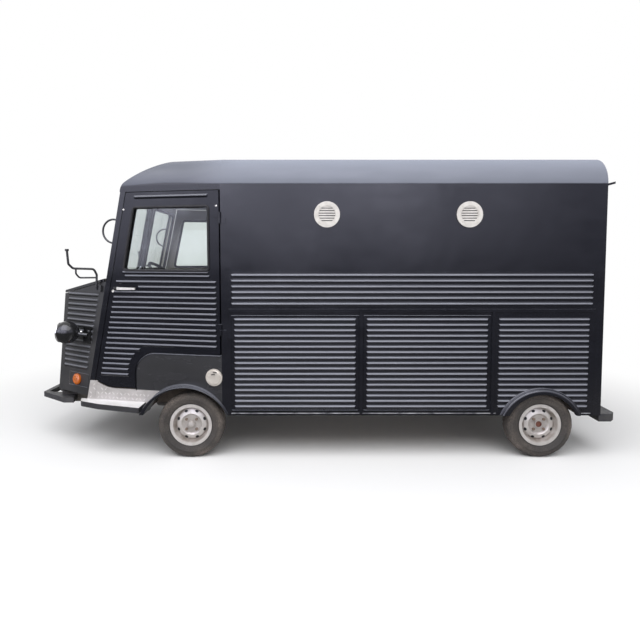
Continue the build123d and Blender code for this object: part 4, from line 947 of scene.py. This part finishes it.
# Rolled edge along the top and the front of each arch panel
arch_front, arch_top, arch_corner, arch_foot, arch_steps = 1.485, 0.845, 0.175, 0.53, 12
middle_x, middle_z = arch_front - arch_corner, arch_top - arch_corner
turns = [math.pi / 2 * k / arch_steps for k in range(arch_steps + 1)]
rim = [(PILLAR_X + 0.01, arch_top)]
rim += [(middle_x + arch_corner * math.sin(t), middle_z + arch_corner * math.cos(t)) for t in turns]
rim.append((arch_front, arch_foot))
arch_edge = tube([on_cab(x, z, 0.001) for x, z in rim], 0.004)
piece("arch_edges", joined([arch_edge, mirrored(arch_edge)]), "panel", "body")

# Pressed border on the nose round each indicator: columns of the corners are along and up the nose
nose_normal = Vector((0.516523, 0.853498, 0.068887))
nose_along = nose_normal.cross(up).normalized()
nose_up = nose_along.cross(nose_normal)
indicator = Vector((2.063, 0.6106, 0.582))
border_corners = ((-0.15, -0.06), (0.12, -0.06), (0.12, 0.055), (-0.15, 0.055))
corners = [indicator + nose_along * u + nose_up * v for u, v in border_corners]
nose_border = tube(rounded(corners, 0.012, 4), 0.003, True, 6)
piece("nose_borders", joined([nose_border, mirrored(nose_border)]), "nose", "body")


# Raised lozenges of the tread plate, set where the plate is flat all round them
LOZENGE_HALF_LENGTH, LOZENGE_HALF_WIDTH, LOZENGE_HEIGHT, LOZENGE_SINK = 0.02, 0.006, 0.002, 0.0008
LOZENGE_ROOM, RAY_START, RAY_LENGTH, FLAT_WITHIN = 0.018, 0.05, 0.07, 0.0005


def surface(name):
    mesh = nodes[name].data
    corners = [vertex.co for vertex in mesh.vertices]
    return BVHTree.FromPolygons(corners, [face.vertices for face in mesh.polygons])


def lozenge(at, normal, along):
    across = normal.cross(along)
    shifts = [along * LOZENGE_HALF_LENGTH, across * LOZENGE_HALF_WIDTH]
    shifts += [-shift for shift in shifts]
    vertices = [at + shift - normal * LOZENGE_SINK for shift in shifts]
    vertices += [at + shift * 0.5 + normal * LOZENGE_HEIGHT for shift in shifts]
    return vertices, skin(2, 4)


def lozenges(plate, start, along, across, rows, columns, pitch):
    tree, normal, found = surface(plate), along.cross(across), []
    for i in range(columns):
        for k in range(rows):
            at = start + along * (i * pitch) + across * (k * pitch)
            lean = (along + across * (1.0 if (i + k) % 2 else -1.0)).normalized()
            around = [at, *[at + shift * LOZENGE_ROOM for shift in (along, across, -along, -across)]]
            hits = [tree.ray_cast(point + normal * RAY_START, -normal, RAY_LENGTH)[0] for point in around]
            heights = [hit.dot(normal) for hit in hits if hit]
            if all(hits) and max(heights) - min(heights) < FLAT_WITHIN:
                found.append(lozenge(hits[0], normal, lean))
    return joined(found)


step_start = Vector((1.4, 0.72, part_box("steps")[1][2]))
tread = lozenges("steps", step_start, Vector((1.0, 0.0, 0.0)), side_normal, 7, 18, 0.04)
piece("step_lozenges", joined([tread, mirrored(tread)]), "step", "body")
kick = lozenges("kick_plates", on_cab(1.945, 0.45, 0.0), cab_back, up, 4, 19, 0.036)
piece("kick_lozenges", joined([kick, mirrored(kick)]), "lozenge", "body")

# Lever of the rear doors, on the face that a ray from behind meets
lever_y, lever_z, lever_out = 0.07, 1.214, 0.03
face_x = surface("rear_door_left").ray_cast(Vector((-3.0, lever_y, lever_z)), Vector((1.0, 0.0, 0.0)))[0].x
rose_profile = [(0.026, -0.001), (0.026, 0.006), (0.014, 0.009), (0.011, 0.034)]
rose = button(Vector((face_x, lever_y, lever_z)), Vector((-1.0, 0.0, 0.0)), rose_profile)
lever = tube([Vector((face_x - lever_out, y, lever_z)) for y in (0.06, 0.09, 0.13, 0.165)], 0.009, sides=12)
piece("rear_door_lever", joined([rose, lever]), "lever", "rear_door_left")

# Slots of the filler cap's latch, drawn as dark tubes of painted shade: columns are reach up and the turns
# along each slot
cap_x, cap_z, slot_across, cap_y = 0.799, 0.671, 0.055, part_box("filler_cap")[1][1]
shade_lines = []
for reach, turns in ((0.05, (0.1, -0.05, -0.2, -0.35, -0.5)), (0.03, (0.35, 0.15, -0.05, -0.2))):
    slot = [Vector((cap_x + slot_across * math.sin(t), cap_y, cap_z + reach * math.cos(t))) for t in turns]
    shade_lines.append(tube(slot, 0.0035, sides=6))
piece("filler_shade_lines", joined(shade_lines), "gasket", "body")


# Floor, light and camera
def floor_material():
    graph = Graph("studio_floor", Roughness=0.9)
    graph.set(Base_Color=graph.blend(graph.noise(0.6), (0.85, 0.85, 0.855), (0.87, 0.87, 0.875)))
    output = graph.tree.nodes["Material Output"]
    light = graph.tree.nodes.new("ShaderNodeLightPath")
    mirrored_ray = light.outputs["Is Glossy Ray"]
    seen = graph.math("MAXIMUM", light.outputs["Is Camera Ray"], light.outputs["Is Transmission Ray"])
    away = graph.node("VectorMath", {"operation": "LENGTH"}, graph.point).outputs["Value"]
    share = graph.product(seen, graph.span(away, 2.4, 5.0))
    share = graph.math("ADD", share, graph.product(mirrored_ray, graph.span(away, 1.0, 2.2)))
    white = graph.node("Emission", {}, None, graph.span(mirrored_ray, 0.0, 1.0, 1.0, 0.17))
    both = graph.node("MixShader", {}, share)
    graph.tree.links.new(graph.shader.outputs[0], both.inputs[1])
    graph.tree.links.new(white.outputs[0], both.inputs[2])
    graph.tree.links.new(both.outputs[0], output.inputs[0])
    return graph.material


def make_floor():
    mesh, reach = bpy.data.meshes.new("floor"), 60.0
    corners = [(-reach, -reach, 0), (reach, -reach, 0), (reach, reach, 0), (-reach, reach, 0)]
    mesh.from_pydata(corners, [], [(0, 1, 2, 3)])
    mesh.materials.append(floor_material())
    floor = bpy.data.objects.new("floor", mesh)
    bpy.context.scene.collection.objects.link(floor)


def make_world():
    world = bpy.data.worlds.new("studio")
    bpy.context.scene.world = world
    world.use_nodes = True
    tree = world.node_tree
    back = tree.nodes["Background"]

    def node(kind, settings, *values):
        made = tree.nodes.new("ShaderNode" + kind)
        for name, value in settings.items():
            setattr(made, name, value)
        for place, value in values:
            if isinstance(value, bpy.types.NodeSocket):
                tree.links.new(value, made.inputs[place])
            else:
                made.inputs[place].default_value = value
        return made

    place = node("TexCoord", {}).outputs["Generated"]
    parts = node("SeparateXYZ", {}, (0, place)).outputs

    def span(value, low, high, to_low, to_high):
        settings = {"interpolation_type": "SMOOTHSTEP"}
        return node("MapRange", settings, *enumerate((value, low, high, to_low, to_high))).outputs[0]

    near = span(parts["Y"], -0.05, 0.35, 0.0, 1.0)
    clouds = node("TexNoise", {}, (0, place))
    clouds.inputs["Scale"].default_value = 8.0
    clouds.inputs["Detail"].default_value = 3.0
    rise = span(parts["Z"], -0.06, 0.17, 0.4, 1.5)
    shade = span(parts["X"], -0.5, -0.05, 0.62, 2.4)
    for factor in (rise, span(clouds.outputs["Fac"], 0.35, 0.65, 0.55, 1.4)):
        shade = node("Math", {"operation": "MULTIPLY"}, (0, shade), (1, factor)).outputs[0]
    light = node("LightPath", {}).outputs
    cool = node("Math", {"operation": "MULTIPLY"}, (0, near), (1, light["Is Glossy Ray"])).outputs[0]
    tint = node("Mix", {"data_type": "RGBA"}, (0, cool), (6, (1.0, 1.0, 1.0, 1.0)),
                (7, (0.94, 0.95, 1.16, 1.0))).outputs[2]
    grey = node("Mix", {"data_type": "FLOAT"}, (0, near), (2, 1.0), (3, shade)).outputs[0]
    seen = node("Math", {"operation": "MAXIMUM"}, (0, light["Is Camera Ray"]),
                (1, light["Is Transmission Ray"])).outputs[0]
    level = node("Mix", {"data_type": "FLOAT"}, (0, seen), (2, 0.55), (3, 1.0)).outputs[0]
    level = node("Mix", {"data_type": "FLOAT"}, (0, light["Is Glossy Ray"]), (2, level), (3, grey)).outputs[0]
    tree.links.new(tint, back.inputs["Color"])
    tree.links.new(level, back.inputs["Strength"])


def make_lamp(name, place, aim, size, power):
    lamp = bpy.data.lights.new(name, "AREA")
    lamp.shape = "RECTANGLE"
    lamp.size, lamp.size_y = size
    lamp.energy = power
    made = bpy.data.objects.new(name, lamp)
    made.location = place
    made.rotation_euler = (Vector(aim) - Vector(place)).to_track_quat("-Z", "Y").to_euler()
    bpy.context.scene.collection.objects.link(made)


def make_camera():
    data = bpy.data.cameras.new("camera")
    data.lens, data.sensor_width = 28.1, 36.0
    data.shift_x, data.shift_y = 0.0078, -0.0516
    camera = bpy.data.objects.new("camera", data)
    camera.location = (-0.02, 4.94, 1.648)
    camera.rotation_euler = (math.radians(90 - 3.43), 0.0, math.pi)
    bpy.context.scene.collection.objects.link(camera)
    bpy.context.scene.camera = camera


make_floor()
make_world()
make_lamp("softbox", (0.4, 4.6, 6.2), (0.0, 2.4, 0.0), (11.0, 6.5), 620.0)
make_camera()
bpy.context.scene.view_settings.view_transform = "Standard"
